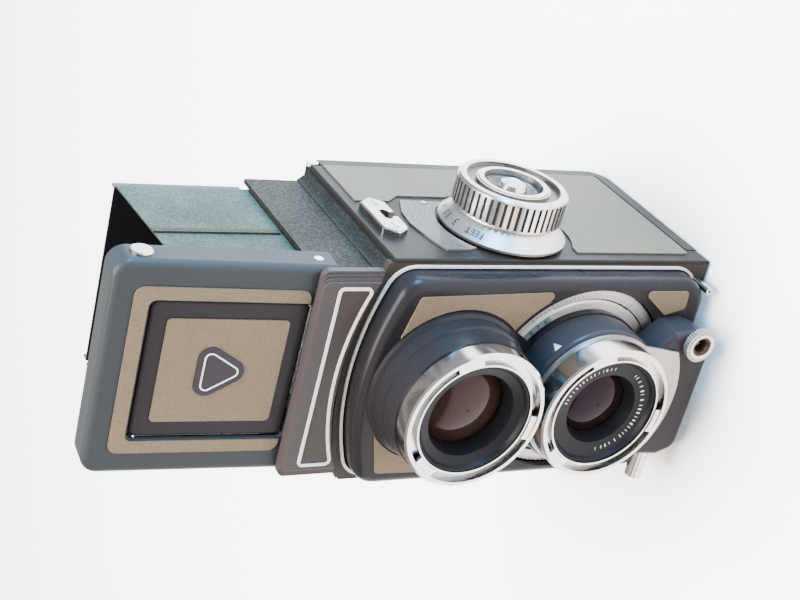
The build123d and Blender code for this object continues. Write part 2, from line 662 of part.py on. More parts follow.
with BuildPart() as shutter_housing:
    with BuildSketch(front_plane(BOARD_FACE_Y)) as housing_shape:
        with Locations((0, TAKING_Z)):
            Circle(21.0)
        with BuildLine():
            Polyline((-13.5, 24.2), (-19.6, 18.0), (-20.2, 10.5), (-17.8, 4.3), (17.8, 4.3), (20.2, 10.5),
                     (19.6, 18.0), (13.5, 24.2), close=True)
        make_face()
        fillet(housing_shape.vertices().group_by(Axis.Y)[0], 4)
    extrude(amount=9.6)
    fillet(shutter_housing.faces().sort_by(Axis.Y)[0].outer_wire().edges(), 1.6)
    with BuildSketch(front_plane(BOARD_FACE_Y)):
        with Locations((0, TAKING_Z)):
            Circle(17.0)
    extrude(amount=12, mode=Mode.SUBTRACT)
    with BuildSketch(front_plane(BOARD_FACE_Y)):
        with Locations((SOCKET_X, SOCKET_Z)):
            Circle(2.6)
    extrude(amount=12, mode=Mode.SUBTRACT)
    with BuildSketch(side_plane(-14 + RELEASE_TRAVEL + 0.5)):
        with Locations((-42.6, 12.6)):
            Circle(2.4 + FIT)
    extrude(amount=-16, mode=Mode.SUBTRACT)
    add(viewing_collar.part, mode=Mode.SUBTRACT)
save(shutter_housing, "shutter_housing")

FACEPLATE_Y = BOARD_FACE_Y - 9.6
with BuildPart() as shutter_faceplate:
    with BuildSketch(front_plane(FACEPLATE_Y)) as faceplate_shape:
        with Locations((0, TAKING_Z)):
            Circle(20.3)
        with BuildLine():
            Polyline((-17.0, 30), (-14.6, 16.2), (14.6, 16.2), (17.0, 30), close=True)
        make_face()
        with BuildLine():
            sag = ThreePointArc((-14.6, 16.3), (0, 12.4), (14.6, 16.3))
            Line(sag @ 1, sag @ 0)
        make_face()
        with Locations((0, TAKING_Z)):
            Circle(16.6, mode=Mode.SUBTRACT)
        with Locations((0, VIEWING_Z)):
            Circle(20.7, mode=Mode.SUBTRACT)
    extrude(amount=0.8)
save(shutter_faceplate, "shutter_faceplate")


def bayonet_ring(axis, radius, back_y, name):
    """Chrome lens ring with a stepped flange and three bayonet lugs inside its rim."""
    z = axis.position.Z
    profile = [(back_y, 16.2), (back_y, radius - 0.3), (back_y - 0.5, radius), (RING_FRONT_Y + 0.5, radius),
               (RING_FRONT_Y, radius - 0.5), (RING_FRONT_Y, radius - 1.5), (RING_FRONT_Y + 2.2, radius - 1.8),
               (RING_FRONT_Y + 2.2, 16.6), (RING_FRONT_Y + 0.6, 16.4), (RING_FRONT_Y + 0.6, 15.9),
               (back_y, 15.9)]
    with BuildPart() as ring:
        add(turned(profile, axis).part)
        for angle in (20, 140, 260):
            with BuildSketch(front_plane(RING_FRONT_Y + 1.2)):
                with Locations((0, z)):
                    with PolarLocations(17.4, 1, start_angle=angle):
                        Rectangle(2.4, 7)
                    Circle(radius - 1.0, mode=Mode.INTERSECT)
                    Circle(16.5, mode=Mode.SUBTRACT)
            extrude(amount=0.9)
    save(ring, name)


bayonet_ring(VIEWING_AXIS, RING_R, -48.6, "viewing_ring")
bayonet_ring(TAKING_AXIS, RING_R - 0.3, FACEPLATE_Y - 0.8, "taking_ring")

with BuildPart() as lens_barrels:
    add(turned([(-25.0, 11.4), (-25.0, 12.2), (-37.0, 12.2), (-37.0, 15.8), (-53.2, 15.8), (-53.2, 15.2),
                (-52.2, 14.6), (-51.2, 12.2), (-46.4, 11.6), (-44.7, 11.6), (-44.7, 11.4)],
               VIEWING_AXIS).part)
    add(turned([(-30.0, 9.1), (-30.0, 11.4), (-32.6, 11.4), (-32.6, 9.1)], VIEWING_AXIS).part)
    add(turned([(-37.0, 9.6), (-37.0, 15.8), (-53.0, 15.8), (-53.0, 15.2), (-52.0, 14.6), (-51.3, 10.6),
                (-47.4, 9.6)], TAKING_AXIS).part)
    add(turned([(-24.5, 8.1), (-24.5, 12.0), (-31.6, 12.0), (-31.6, 8.1)], TAKING_AXIS).part)
save(lens_barrels, "lens_barrels")


def lens_element(radius, rim_y, rim_t, front_bulge, back_bulge, axis):
    """Glass element with spherical faces; rim_y is its front edge, rim_t its edge thickness."""
    z = axis.position.Z

    def halfway(bulge):
        sphere = (radius ** 2 + bulge ** 2) / (2 * bulge)
        return bulge - (sphere - (sphere ** 2 - radius ** 2 / 4) ** 0.5)

    with BuildPart() as element:
        with BuildSketch(Plane.YZ):
            with BuildLine():
                ThreePointArc((rim_y, z + radius), (rim_y - halfway(front_bulge), z + radius / 2),
                              (rim_y - front_bulge, z))
                Polyline((rim_y - front_bulge, z), (rim_y + rim_t + back_bulge, z))
                ThreePointArc((rim_y + rim_t + back_bulge, z),
                              (rim_y + rim_t + halfway(back_bulge), z + radius / 2),
                              (rim_y + rim_t, z + radius))
                Polyline((rim_y + rim_t, z + radius), (rim_y, z + radius))
            make_face()
        revolve(axis=axis)
    return element


with BuildPart() as viewing_glass:
    add(lens_element(11.3, -46.3, 1.6, 3.0, 0.6, VIEWING_AXIS).part)
    add(lens_element(9.0, -32.0, 1.6, 0.8, 1.5, VIEWING_AXIS).part)
save(viewing_glass, "viewing_glass")

with BuildPart() as taking_glass:
    add(lens_element(9.5, -47.3, 1.6, 2.2, 0.5, TAKING_AXIS).part)
    add(lens_element(8.0, -30.6, 1.6, 0.8, 1.5, TAKING_AXIS).part)
save(taking_glass, "taking_glass")

with BuildPart() as shutter_case:
    add(turned([(-31.65, 8.1), (-31.65, 20.6), (-35.0, 20.6), (-35.0, 17.0), (-37.0, 16.9), (-37.0, 11.0),
                (-33.8, 11.0), (-33.8, 8.1)], TAKING_AXIS).part)
    add(turned([(-31.4, 20.6), (-31.4, 27.6), (-31.9, 27.6), (-31.9, 20.6)], TAKING_AXIS).part)
save(shutter_case, "shutter_case")

with BuildPart() as shutter_blades:
    with BuildSketch(front_plane(-35.6)):
        with Locations((0, TAKING_Z)):
            with PolarLocations(5.6, 5):
                RegularPolygon(4.6, 3, rotation=12)
            Circle(10.6, mode=Mode.INTERSECT)
    extrude(amount=0.25)
save(shutter_blades, "shutter_blades")

with BuildPart() as speed_ring:
    with BuildSketch(front_plane(-32.0)):
        with Locations((0, TAKING_Z)):
            Circle(27.8)
            with PolarLocations(27.8, 120):
                Circle(0.35, mode=Mode.SUBTRACT)
            Circle(24.6, mode=Mode.SUBTRACT)
    extrude(amount=2.8)
save(speed_ring, "speed_ring")

aperture_ring = turned([(-32.0, 20.65), (-32.0, 24.3), (-34.2, 24.3), (-34.8, 23.4), (-34.8, 20.65)],
                       TAKING_AXIS)
save(aperture_ring, "aperture_ring")

with BuildPart() as guide_rods:
    for rod_x in (-28.2, 28.2):
        for rod_z in (20, 91):
            with BuildSketch(front_plane(-12)):
                with Locations((rod_x, rod_z)):
                    Circle(1.2)
            extrude(amount=23)
save(guide_rods, "guide_rods")

flash_axis = Axis((SOCKET_X, 0, SOCKET_Z), (0, 1, 0))
flash_socket = turned([(-38.2, 0), (-38.2, 2.6), (-46.6, 2.6), (-46.6, SOCKET_R), (-48.9, SOCKET_R),
                       (-48.9, 3.0), (-48.4, 2.2), (-43.0, 2.1), (-43.0, 0.9), (-46.4, 0.9), (-46.4, 0)],
                      flash_axis)
save(flash_socket, "flash_socket")

with BuildPart() as flash_lock_ring:
    with BuildSketch(front_plane(-46.8)):
        with Locations((SOCKET_X, SOCKET_Z)):
            Circle(4.8)
            with PolarLocations(4.85, 36):
                Circle(0.18, mode=Mode.SUBTRACT)
            Circle(SOCKET_R + FIT, mode=Mode.SUBTRACT)
    extrude(amount=1.9)
save(flash_lock_ring, "flash_lock_ring")

with BuildPart() as release_plunger:
    with BuildSketch(side_plane(-14)):
        with Locations((-42.6, 12.6)):
            Circle(2.4)
    extrude(amount=-15.4)
    chamfer(release_plunger.faces().sort_by(Axis.X)[0].edges(), 0.35)
save(release_plunger, "release_plunger")

# ---------------------------------------------------------------- hood
with BuildPart() as hood_base:
    with BuildSketch(Plane.XY.offset(BODY_H)):
        with Locations((0, -1.2)):
            Rectangle(63.6, 53.4)
    extrude(amount=3.4)
    for cut_x in (-33.2, 33.2):
        with BuildSketch(front_plane(30)):
            with Locations((cut_x, BODY_H + 4.4)):
                Circle(4.1)
        extrude(amount=62, mode=Mode.SUBTRACT)
    with BuildSketch(side_plane(-36)):
        with Locations((HOOD_REAR_Y + 4.4, BODY_H + 4.6)):
            Circle(4.2)
    extrude(amount=72, mode=Mode.SUBTRACT)
    with BuildSketch(Plane.XY.offset(BODY_H)):
        with Locations((0, (HOOD_FRONT_Y + HOOD_REAR_Y) / 2)):
            Rectangle(HOOD_W, HOOD_REAR_Y - HOOD_FRONT_Y)
    extrude(amount=HOOD_TOP - BODY_H)
    # open inside, with a low front wall and a lowered rear wall
    with BuildSketch(Plane.XY.offset(BODY_H)):
        with Locations((0, (HOOD_FRONT_Y + HOOD_REAR_Y) / 2)):
            Rectangle(HOOD_W - 2 * HOOD_WALL, HOOD_REAR_Y - HOOD_FRONT_Y - 2 * HOOD_WALL)
    extrude(amount=30, mode=Mode.SUBTRACT)
    with BuildSketch(front_plane(HOOD_REAR_Y)):
        with Locations((0, HOOD_TOP)):
            Rectangle(HOOD_W - 2 * HOOD_WALL, 4.2)
    extrude(amount=HOOD_WALL, mode=Mode.SUBTRACT)
    with BuildSketch(front_plane(HOOD_FRONT_Y + HOOD_WALL)):
        with Locations((0, HOOD_TOP)):
            Rectangle(HOOD_W - 2 * HOOD_WALL, 8)
    extrude(amount=HOOD_WALL, mode=Mode.SUBTRACT)
    with BuildSketch(Plane.XY.offset(102)):
        with Locations((0, -27.15)):
            Rectangle(HOOD_W, 1.5)
    extrude(amount=9)
    with BuildSketch(Plane.XY.offset(109)):
        with Locations((0, -27.9)):
            Rectangle(40, 1.4)
    extrude(amount=2)
save(hood_base, "hood_base")

with BuildPart() as hinge_pins:
    for side in (-1, 1):
        with BuildSketch(front_plane(HOOD_REAR_Y - HOOD_WALL)):
            with Locations((side * LEAF_X, LEAF_HINGE_Z[side])):
                Circle(0.45)
        extrude(amount=HOOD_REAR_Y - HOOD_FRONT_Y - 2 * HOOD_WALL)
        with BuildSketch(side_plane(side * HOOD_X)):
            with Locations((LID_PIVOT_Y, LID_PIVOT_Z)):
                Circle(1.2)
        extrude(amount=side * 0.95)
    with BuildSketch(side_plane(-HOOD_X + HOOD_WALL)):
        with Locations((REAR_HINGE_Y, REAR_HINGE_Z)):
            Circle(0.45)
    extrude(amount=HOOD_W - 2 * HOOD_WALL)
    with BuildSketch(side_plane(-33.2)):
        with Locations((DOOR_PIVOT_Y, DOOR_PIVOT_Z)):
            Circle(0.8)
    extrude(amount=66.4)
    for side in (-1, 1):
        with BuildSketch(side_plane(side * 32.5)):
            with Locations((DOOR_PIVOT_Y, DOOR_PIVOT_Z)):
                Circle(1.7)
        extrude(amount=side * 1.0)
save(hinge_pins, "hinge_pins")


def side_leaf(side):
    """Upright side wall of the hood, hinged along its lower edge, with a rolled stiffener."""
    hinge_z = LEAF_HINGE_Z[side]
    with BuildPart() as leaf:
        with BuildSketch(side_plane(side * (LEAF_X - LEAF_T / 2))):
            with BuildLine():
                Polyline((-16.5, hinge_z + 0.6), (21.8, hinge_z + 0.6), (21.8, LEAF_TOP),
                         (-16.5, LEAF_TOP - 3), close=True)
            make_face()
        extrude(amount=side * LEAF_T)
        with BuildSketch(side_plane(side * (LEAF_X + LEAF_T / 2))):
            with Locations((-4.2, (HOOD_TOP + LEAF_TOP) / 2 - 0.4)):
                Rectangle(1.8, LEAF_TOP - HOOD_TOP - 2.4)
        extrude(amount=side * 0.6)
        with BuildSketch(front_plane(21.8)):
            with Locations((side * LEAF_X, hinge_z)):
                Circle(0.9)
        extrude(amount=38.3)
        with BuildSketch(front_plane(21.8)):
            with Locations((side * LEAF_X, hinge_z)):
                Circle(0.45 + FIT)
        extrude(amount=38.3, mode=Mode.SUBTRACT)
    return leaf


save(side_leaf(1), "side_leaf_right")
save(side_leaf(-1), "side_leaf_left")

with BuildPart() as rear_leaf:
    with BuildSketch(front_plane(REAR_HINGE_Y + LEAF_T / 2)):
        with Locations((0, (REAR_HINGE_Z + 0.7 + LEAF_TOP) / 2)):
            Rectangle(52.6, LEAF_TOP - REAR_HINGE_Z - 0.7)
    extrude(amount=LEAF_T)
    for side in (-1, 1):
        with BuildSketch(front_plane(REAR_HINGE_Y + LEAF_T / 2)):
            with Locations((side * 26.0, (HOOD_TOP + LEAF_TOP) / 2 + 0.5)):
                Rectangle(LEAF_T, LEAF_TOP - HOOD_TOP - 1)
        extrude(amount=-2.0)
    with BuildSketch(side_plane(-26.3)):
        with Locations((REAR_HINGE_Y, REAR_HINGE_Z)):
            Circle(0.9)
    extrude(amount=52.6)
    with BuildSketch(side_plane(-26.3)):
        with Locations((REAR_HINGE_Y, REAR_HINGE_Z)):
            Circle(0.45 + FIT)
    extrude(amount=52.6, mode=Mode.SUBTRACT)
save(rear_leaf, "rear_leaf")

LID_LOW, LID_HIGH = -2.4, 52.4          # the lid's face above its pivot, along its own plane
FACE_Z, SKIRT_BACK = 5.2, -3.4          # its face in front of the pivot, and the skirt's rear edge
FLAP_HINGE_UP, FLAP_HINGE_OUT = 41.3, 3.2   # finder flap's hinge, in the lid's own plane
flap_hinge = LID_PLANE.from_local_coords((0, FLAP_HINGE_UP, FLAP_HINGE_OUT))
MAGNIFIER_UP, MAGNIFIER_OUT = 37.2, 1.3     # magnifier's hinge, in the lid's own plane
magnifier_hinge = LID_PLANE.from_local_coords((0, MAGNIFIER_UP, MAGNIFIER_OUT))
MAGNIFIER_LENS_UP = MAGNIFIER_UP - 14
BADGE_W, BADGE_SIDE = 19.0, 18.0            # triangle behind the badge's rounded shield
with BuildPart() as lid:
    with BuildSketch(LID_PLANE.offset(SKIRT_BACK)) as lid_shape:
        with Locations((0, (LID_LOW + LID_HIGH) / 2 - 1.2)):
            Rectangle(LID_W, LID_HIGH - LID_LOW + 2.4)
        fillet(lid_shape.vertices().group_by(Axis.Y)[-1], 4.5)
        fillet(lid_shape.vertices().group_by(Axis.Y)[0], 1.5)
    extrude(amount=FACE_Z - SKIRT_BACK)
    fillet(lid.faces().sort_by(Axis.Y)[0].outer_wire().edges(), 2.0)
    with BuildSketch(LID_PLANE.offset(SKIRT_BACK)) as lid_inside:
        with Locations((0, (LID_LOW + LID_HIGH) / 2 - 10)):
            Rectangle(LID_W - 1.5, LID_HIGH - LID_LOW + 18.5)
        fillet(lid_inside.vertices().group_by(Axis.Y)[-1], 3.6)
    extrude(amount=FACE_Z - SKIRT_BACK - LID_T, mode=Mode.SUBTRACT)
    with BuildSketch(LID_PLANE.offset(FACE_Z - LID_T - 1)):
        with Locations((0, -5)):
            Rectangle(LID_W - 1.5, 2 * (5 + LID_LOW))
    extrude(amount=4, mode=Mode.SUBTRACT)
    with BuildSketch(LID_PLANE.offset(SKIRT_BACK)):
        with Locations((0, 21.6)):
            RectangleRounded(39.4, 41.6, 2)
    extrude(amount=20, mode=Mode.SUBTRACT)
    # two lugs behind the face carry the finder flap's stub pins
    with BuildSketch(LID_PLANE.offset(2.2)):
        with Locations((-20.6, FLAP_HINGE_UP), (20.6, FLAP_HINGE_UP)):
            Rectangle(1.6, 2.2)
    extrude(amount=FACE_Z - LID_T - 2.2)
    with BuildSketch(side_plane(-21.6)):
        with Locations((flap_hinge.Y, flap_hinge.Z)):
            Circle(0.5 + FIT)
    extrude(amount=43.2, mode=Mode.SUBTRACT)
    with BuildSketch(side_plane(-40)):
        with Locations((LID_PIVOT_Y, LID_PIVOT_Z)):
            Circle(1.2 + FIT)
    extrude(amount=80, mode=Mode.SUBTRACT)
save(lid, "lid")

with BuildPart() as lid_leatherette:
    with BuildSketch(LID_PLANE.offset(FACE_Z)) as lid_skin:
        with Locations((0, 24.3)):
            RectangleRounded(47.0, 44.6, 2.5)
        with Locations((0, 21.6)):
            RectangleRounded(40.2, 42.4, 2, mode=Mode.SUBTRACT)
    extrude(amount=LEATHER_T)
save(lid_leatherette, "lid_leatherette")

rivet_at = LID_PLANE.from_local_coords((0, 45.0, 0))
with BuildPart() as lid_rivets:
    for side in (-1, 1):
        with BuildSketch(side_plane(side * LID_W / 2)):
            with Locations((rivet_at.Y, rivet_at.Z)):
                Circle(2.9)
        extrude(amount=side * 0.7)
    for end in (0, -1):
        chamfer(lid_rivets.faces().sort_by(Axis.X)[end].edges(), 0.3)
save(lid_rivets, "lid_rivets")

with BuildPart() as finder_flap:
    with BuildSketch(LID_PLANE.offset(3.0)):
        with Locations((0, 21.5)):
            RectangleRounded(38.8, 40.8, 1.8)
    extrude(amount=1.5)
    fillet(finder_flap.faces().sort_by(OUTWARD)[-1].outer_wire().edges(), 1.0)
    with BuildSketch(side_plane(-21.3)):
        with Locations((flap_hinge.Y, flap_hinge.Z)):
            Circle(0.5)
    extrude(amount=42.6)
    # two ears behind it carry the magnifier's pin
    with BuildSketch(LID_PLANE.offset(0.4)):
        with Locations((-14, MAGNIFIER_UP), (14, MAGNIFIER_UP)):
            Rectangle(2, 2.4)
    extrude(amount=2.7)
    with BuildSketch(side_plane(-15)):
        with Locations((magnifier_hinge.Y, magnifier_hinge.Z)):
            Circle(0.5)
    extrude(amount=30)
save(finder_flap, "finder_flap")

def shield_outline(grow):
    """Rounded shield pointing down, grown evenly; a sketch about its own middle."""
    with BuildSketch() as shield:
        Triangle(a=BADGE_W, b=BADGE_SIDE, c=BADGE_SIDE, rotation=180)
        fillet(shield.vertices(), 3.2)
        offset(amount=grow)
    return shield.sketch.moved(Location((0, -shield.sketch.bounding_box().center().Y)))


with BuildPart() as finder_leatherette:
    with BuildSketch(LID_PLANE.offset(4.5)):
        with Locations((0, 21.5)):
            RectangleRounded(29.4, 31.4, 1.2)
            add(shield_outline(0.05), mode=Mode.SUBTRACT)
    extrude(amount=LEATHER_T)
save(finder_leatherette, "finder_leatherette")

with BuildPart() as finder_badge:
    with BuildSketch(LID_PLANE.offset(4.5)):
        with Locations((0, 21.5)):
            add(shield_outline(0))
    extrude(amount=0.7)
    with BuildSketch(LID_PLANE.offset(5.2)):
        with Locations((0, 21.5)):
            add(shield_outline(-1.5))
            add(shield_outline(-1.9), mode=Mode.SUBTRACT)
    extrude(amount=0.2)
save(finder_badge, "finder_badge")

with BuildPart() as magnifier_frame:
    with BuildSketch(LID_PLANE.offset(MAGNIFIER_OUT - 0.5)):
        with Locations((0, MAGNIFIER_LENS_UP)):
            Circle(11.5)
        with Locations((0, MAGNIFIER_UP - 5)):
            Rectangle(20, 9)
        with Locations((0, MAGNIFIER_UP - 0.6)):
            Rectangle(25.4, 1.2)
        with Locations((0, MAGNIFIER_LENS_UP)):
            Circle(9.6, mode=Mode.SUBTRACT)
    extrude(amount=1.0)
    with BuildSketch(side_plane(-12.7)):
        with Locations((magnifier_hinge.Y, magnifier_hinge.Z)):
            Circle(0.9)
    extrude(amount=25.4)
    with BuildSketch(side_plane(-12.7)):
        with Locations((magnifier_hinge.Y, magnifier_hinge.Z)):
            Circle(0.5 + FIT)
    extrude(amount=25.4, mode=Mode.SUBTRACT)
save(magnifier_frame, "magnifier_frame")

loose_lens = lens_element(9.6, -0.35, 0.7, 0.3, 1.2, Axis((0, 0, 0), (0, 1, 0)))
lens_place = LID_PLANE.from_local_coords((0, MAGNIFIER_LENS_UP, MAGNIFIER_OUT))
with BuildPart() as magnifier_lens:
    with Locations(Location((0, lens_place.Y, lens_place.Z), (-LID_LEAN, 0, 0))):
        add(loose_lens.part)
save(magnifier_lens, "magnifier_lens")
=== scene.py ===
import math
import random

import bmesh
import bpy
from mathutils import Matrix, Vector


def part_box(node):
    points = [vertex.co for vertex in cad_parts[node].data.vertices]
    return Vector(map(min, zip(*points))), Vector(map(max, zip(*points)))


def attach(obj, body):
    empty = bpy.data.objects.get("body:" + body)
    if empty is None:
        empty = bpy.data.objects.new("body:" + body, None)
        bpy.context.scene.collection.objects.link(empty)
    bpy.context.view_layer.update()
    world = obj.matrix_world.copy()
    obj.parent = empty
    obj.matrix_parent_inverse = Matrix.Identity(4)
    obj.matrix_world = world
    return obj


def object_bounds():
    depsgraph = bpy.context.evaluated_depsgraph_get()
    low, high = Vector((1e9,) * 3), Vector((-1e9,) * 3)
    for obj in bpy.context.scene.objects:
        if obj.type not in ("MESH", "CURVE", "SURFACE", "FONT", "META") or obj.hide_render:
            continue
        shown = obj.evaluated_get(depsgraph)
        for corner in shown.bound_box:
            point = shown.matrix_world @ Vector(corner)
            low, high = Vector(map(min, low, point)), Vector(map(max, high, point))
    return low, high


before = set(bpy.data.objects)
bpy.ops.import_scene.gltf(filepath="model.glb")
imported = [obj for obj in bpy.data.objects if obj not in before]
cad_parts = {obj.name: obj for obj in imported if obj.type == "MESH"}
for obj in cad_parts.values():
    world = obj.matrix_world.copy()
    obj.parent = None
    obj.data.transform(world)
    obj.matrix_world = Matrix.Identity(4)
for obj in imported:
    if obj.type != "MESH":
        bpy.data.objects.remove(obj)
CAD_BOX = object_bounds()
random.seed(4)
MM = 0.001
INK = 0.03 * MM
RIGHT = Vector((1, 0, 0))
FORWARD = Vector((0, -1, 0))
BACKWARD = Vector((0, 1, 0))

# ---------------------------------------------------------------- places, read from the frame


def middle(node):
    """Middle of a node's box."""
    low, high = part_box(node)
    return (Vector(low) + Vector(high)) / 2


def low(node):
    """Lowest corner of a node's box."""
    return Vector(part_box(node)[0])


def high(node):
    """Highest corner of a node's box."""
    return Vector(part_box(node)[1])


TAKING = middle("taking_ring")
VIEWING = middle("viewing_ring")
KNOB = middle("focus_knob")
SOCKET = middle("flash_lock_ring")


# ---------------------------------------------------------------- material helpers
class Shader:
    """A material under construction: one Principled shader and the nodes that feed it."""

    def __init__(self, name, **sockets):
        self.material = bpy.data.materials.new(name)
        self.material.use_nodes = True
        self.tree = self.material.node_tree
        self.bsdf = self.tree.nodes["Principled BSDF"]
        self.place = self.tree.nodes.new("ShaderNodeTexCoord").outputs["Object"]
        self.set(**sockets)

    def set(self, **sockets):
        """Constants on the shader's own sockets; underscores stand for spaces."""
        for key, value in sockets.items():
            self.bsdf.inputs[key.replace("_", " ")].default_value = value

    def link(self, source, target):
        """Joins an output to an input, or to the shader's socket of that name."""
        self.tree.links.new(source, self.bsdf.inputs[target] if isinstance(target, str) else target)

    def node(self, kind, **settings):
        """A new node with its settings."""
        made = self.tree.nodes.new(kind)
        for key, value in settings.items():
            setattr(made, key, value)
        return made

    def noise(self, scale, detail=3.0, rough=0.5, where=None):
        """Cloudy value, at the object's own coordinates unless told where."""
        made = self.node("ShaderNodeTexNoise")
        made.inputs["Scale"].default_value = scale
        made.inputs["Detail"].default_value = detail
        made.inputs["Roughness"].default_value = rough
        self.link(where or self.place, made.inputs["Vector"])
        return made.outputs["Fac"]

    def cells(self, scale, feature, where=None):
        """Distance value of a cell pattern."""
        made = self.node("ShaderNodeTexVoronoi", feature=feature)
        made.inputs["Scale"].default_value = scale
        self.link(where or self.place, made.inputs["Vector"])
        return made.outputs["Distance"]

    def mapped(self, value, low_in, high_in, low_out, high_out):
        """Value carried over from one range to another."""
        made = self.node("ShaderNodeMapRange")
        names = ("From Min", "From Max", "To Min", "To Max")
        for name, number in zip(names, (low_in, high_in, low_out, high_out)):
            made.inputs[name].default_value = number
        self.link(value, made.inputs["Value"])
        return made.outputs["Result"]

    def maths(self, operation, first, second=None):
        """One arithmetic step on values or numbers."""
        made = self.node("ShaderNodeMath", operation=operation)
        for socket, value in zip(made.inputs, (first, second)):
            if isinstance(value, (int, float)):
                socket.default_value = value
            elif value is not None:
                self.link(value, socket)
        return made.outputs[0]

    def mixed(self, factor, first, second):
        """Mix of two colours by a value."""
        made = self.node("ShaderNodeMix", data_type="RGBA")
        self.link(factor, made.inputs["Factor"])
        for socket, value in ((made.inputs[6], first), (made.inputs[7], second)):
            if isinstance(value, tuple):
                socket.default_value = value
            else:
                self.link(value, socket)
        return made.outputs[2]

    def bump(self, height, depth, after=None):
        """Bump of that depth in metres, on top of an earlier one."""
        made = self.node("ShaderNodeBump")
        made.inputs["Distance"].default_value = depth
        self.link(height, made.inputs["Height"])
        if after is not None:
            self.link(after, made.inputs["Normal"])
        self.link(made.outputs["Normal"], "Normal")
        return made.outputs["Normal"]

    def radius(self, centre, across):
        """Distance from an axis through centre, along the two named directions."""
        split = self.node("ShaderNodeSeparateXYZ")
        self.link(self.place, split.inputs["Vector"])
        squares = []
        for letter, value in zip(across, centre):
            offset = self.maths("SUBTRACT", split.outputs[letter], value)
            squares.append(self.maths("MULTIPLY", offset, offset))
        return self.maths("SQRT", self.maths("ADD", *squares))


def scaled(colour, factor):
    """The same colour, lighter or darker."""
    return tuple(min(1.0, part * factor) for part in colour[:3]) + (1.0,)


def painted(name, red, green, blue, roughness, speckle, texture, coat):
    """Enamel or textured paint of a linear colour: slight mottling, orange peel, and rubbed patches."""
    colour = (red, green, blue, 1.0)
    shader = Shader(name, Specular_IOR_Level=0.06, Coat_Weight=coat, Coat_Roughness=0.08, Coat_IOR=1.12)
    patches = shader.noise(45, 5)
    fine = shader.noise(2600, 2, 0.7)
    base = shader.mixed(patches, scaled(colour, 1 - speckle), scaled(colour, 1 + speckle))
    shader.link(shader.mixed(shader.mapped(fine, 0.35, 0.65, 0, 1), scaled(colour, 1 - 2 * speckle), base),
                "Base Color")
    shader.link(shader.mapped(patches, 0.3, 0.7, roughness - 0.06, roughness + 0.08), "Roughness")
    peel = shader.bump(shader.noise(900, 2), 0.00001)
    if texture:
        shader.bump(fine, texture, peel)
    return shader.material


def crinkled(name, colour, other):
    """Crinkle paint: bluish and greenish flecks on a dark ground with a fine wrinkled surface."""
    shader = Shader(name, Specular_IOR_Level=0.06)
    flecks = shader.mapped(shader.noise(1500, 4, 0.7), 0.42, 0.62, 0, 1)
    drift = shader.mapped(shader.noise(70, 3), 0.35, 0.65, 0.75, 1.15)
    base = shader.mixed(flecks, colour, other)
    tone = shader.node("ShaderNodeHueSaturation")
    shader.link(drift, tone.inputs["Value"])
    shader.link(base, tone.inputs["Color"])
    shader.link(tone.outputs["Color"], "Base Color")
    shader.link(shader.mapped(flecks, 0, 1, 0.55, 0.38), "Roughness")
    wrinkles = shader.cells(1900, "SMOOTH_F1")
    shader.bump(wrinkles, 0.00006)
    return shader.material


def leathery(name, colour, dark, gloss=0.5):
    """Grained covering: pebbles parted by creases that are painted darker as shade, with a few soft stains."""
    shader = Shader(name, Specular_IOR_Level=0.08)
    warp = shader.noise(500, 3)
    bent = shader.node("ShaderNodeVectorMath", operation="MULTIPLY_ADD")
    bent.inputs[1].default_value = (0.0005, 0.0005, 0.0005)
    shader.link(warp, bent.inputs[0])
    shader.link(shader.place, bent.inputs[2])
    creases = shader.cells(1900, "DISTANCE_TO_EDGE", bent.outputs[0])
    pores = shader.noise(2600, 4, 0.65)
    edge = shader.mapped(creases, 0.0, 0.3, 0, 1)
    stain = shader.mapped(shader.noise(60, 4), 0.35, 0.7, 0, 1)
    lit = shader.mixed(stain, scaled(colour, 0.93), scaled(colour, 1.06))
    # the crease lines take the dark colour: painted shade in the creases of the grain
    shader.link(shader.mixed(edge, dark, lit), "Base Color")
    shader.link(shader.mapped(pores, 0.3, 0.7, gloss - 0.08, gloss + 0.14), "Roughness")
    rough = shader.bump(edge, 0.000035)
    shader.bump(pores, 0.00002, rough)
    return shader.material


def turned(name, colour, roughness, centre=None, across="XZ", grooves=0.000004, pitch=9000, metallic=1.0,
           specular=0.5):
    """Machined metal: fine turning marks around its axis, or brushed haze where no axis is given."""
    shader = Shader(name, Metallic=metallic, Specular_IOR_Level=specular)
    if centre is None:
        stretch = shader.node("ShaderNodeMapping")
        stretch.inputs["Scale"].default_value = (1, 1, 0.08)
        shader.link(shader.place, stretch.inputs["Vector"])
        marks = shader.noise(3500, 2, 0.6, stretch.outputs["Vector"])
    else:
        ring = shader.node("ShaderNodeCombineXYZ")
        shader.link(shader.radius(centre, across), ring.inputs["X"])
        marks = shader.noise(pitch, 2, 0.6, ring.outputs["Vector"])
    handling = shader.noise(120, 5)
    shader.link(shader.mixed(handling, scaled(colour, 0.93), colour), "Base Color")
    worn = shader.mapped(handling, 0.3, 0.75, roughness - 0.03, roughness + 0.09)
    shader.link(shader.maths("ADD", worn, shader.mapped(marks, 0.3, 0.7, -0.02, 0.03)), "Roughness")
    shader.bump(marks, grooves)
    return shader.material


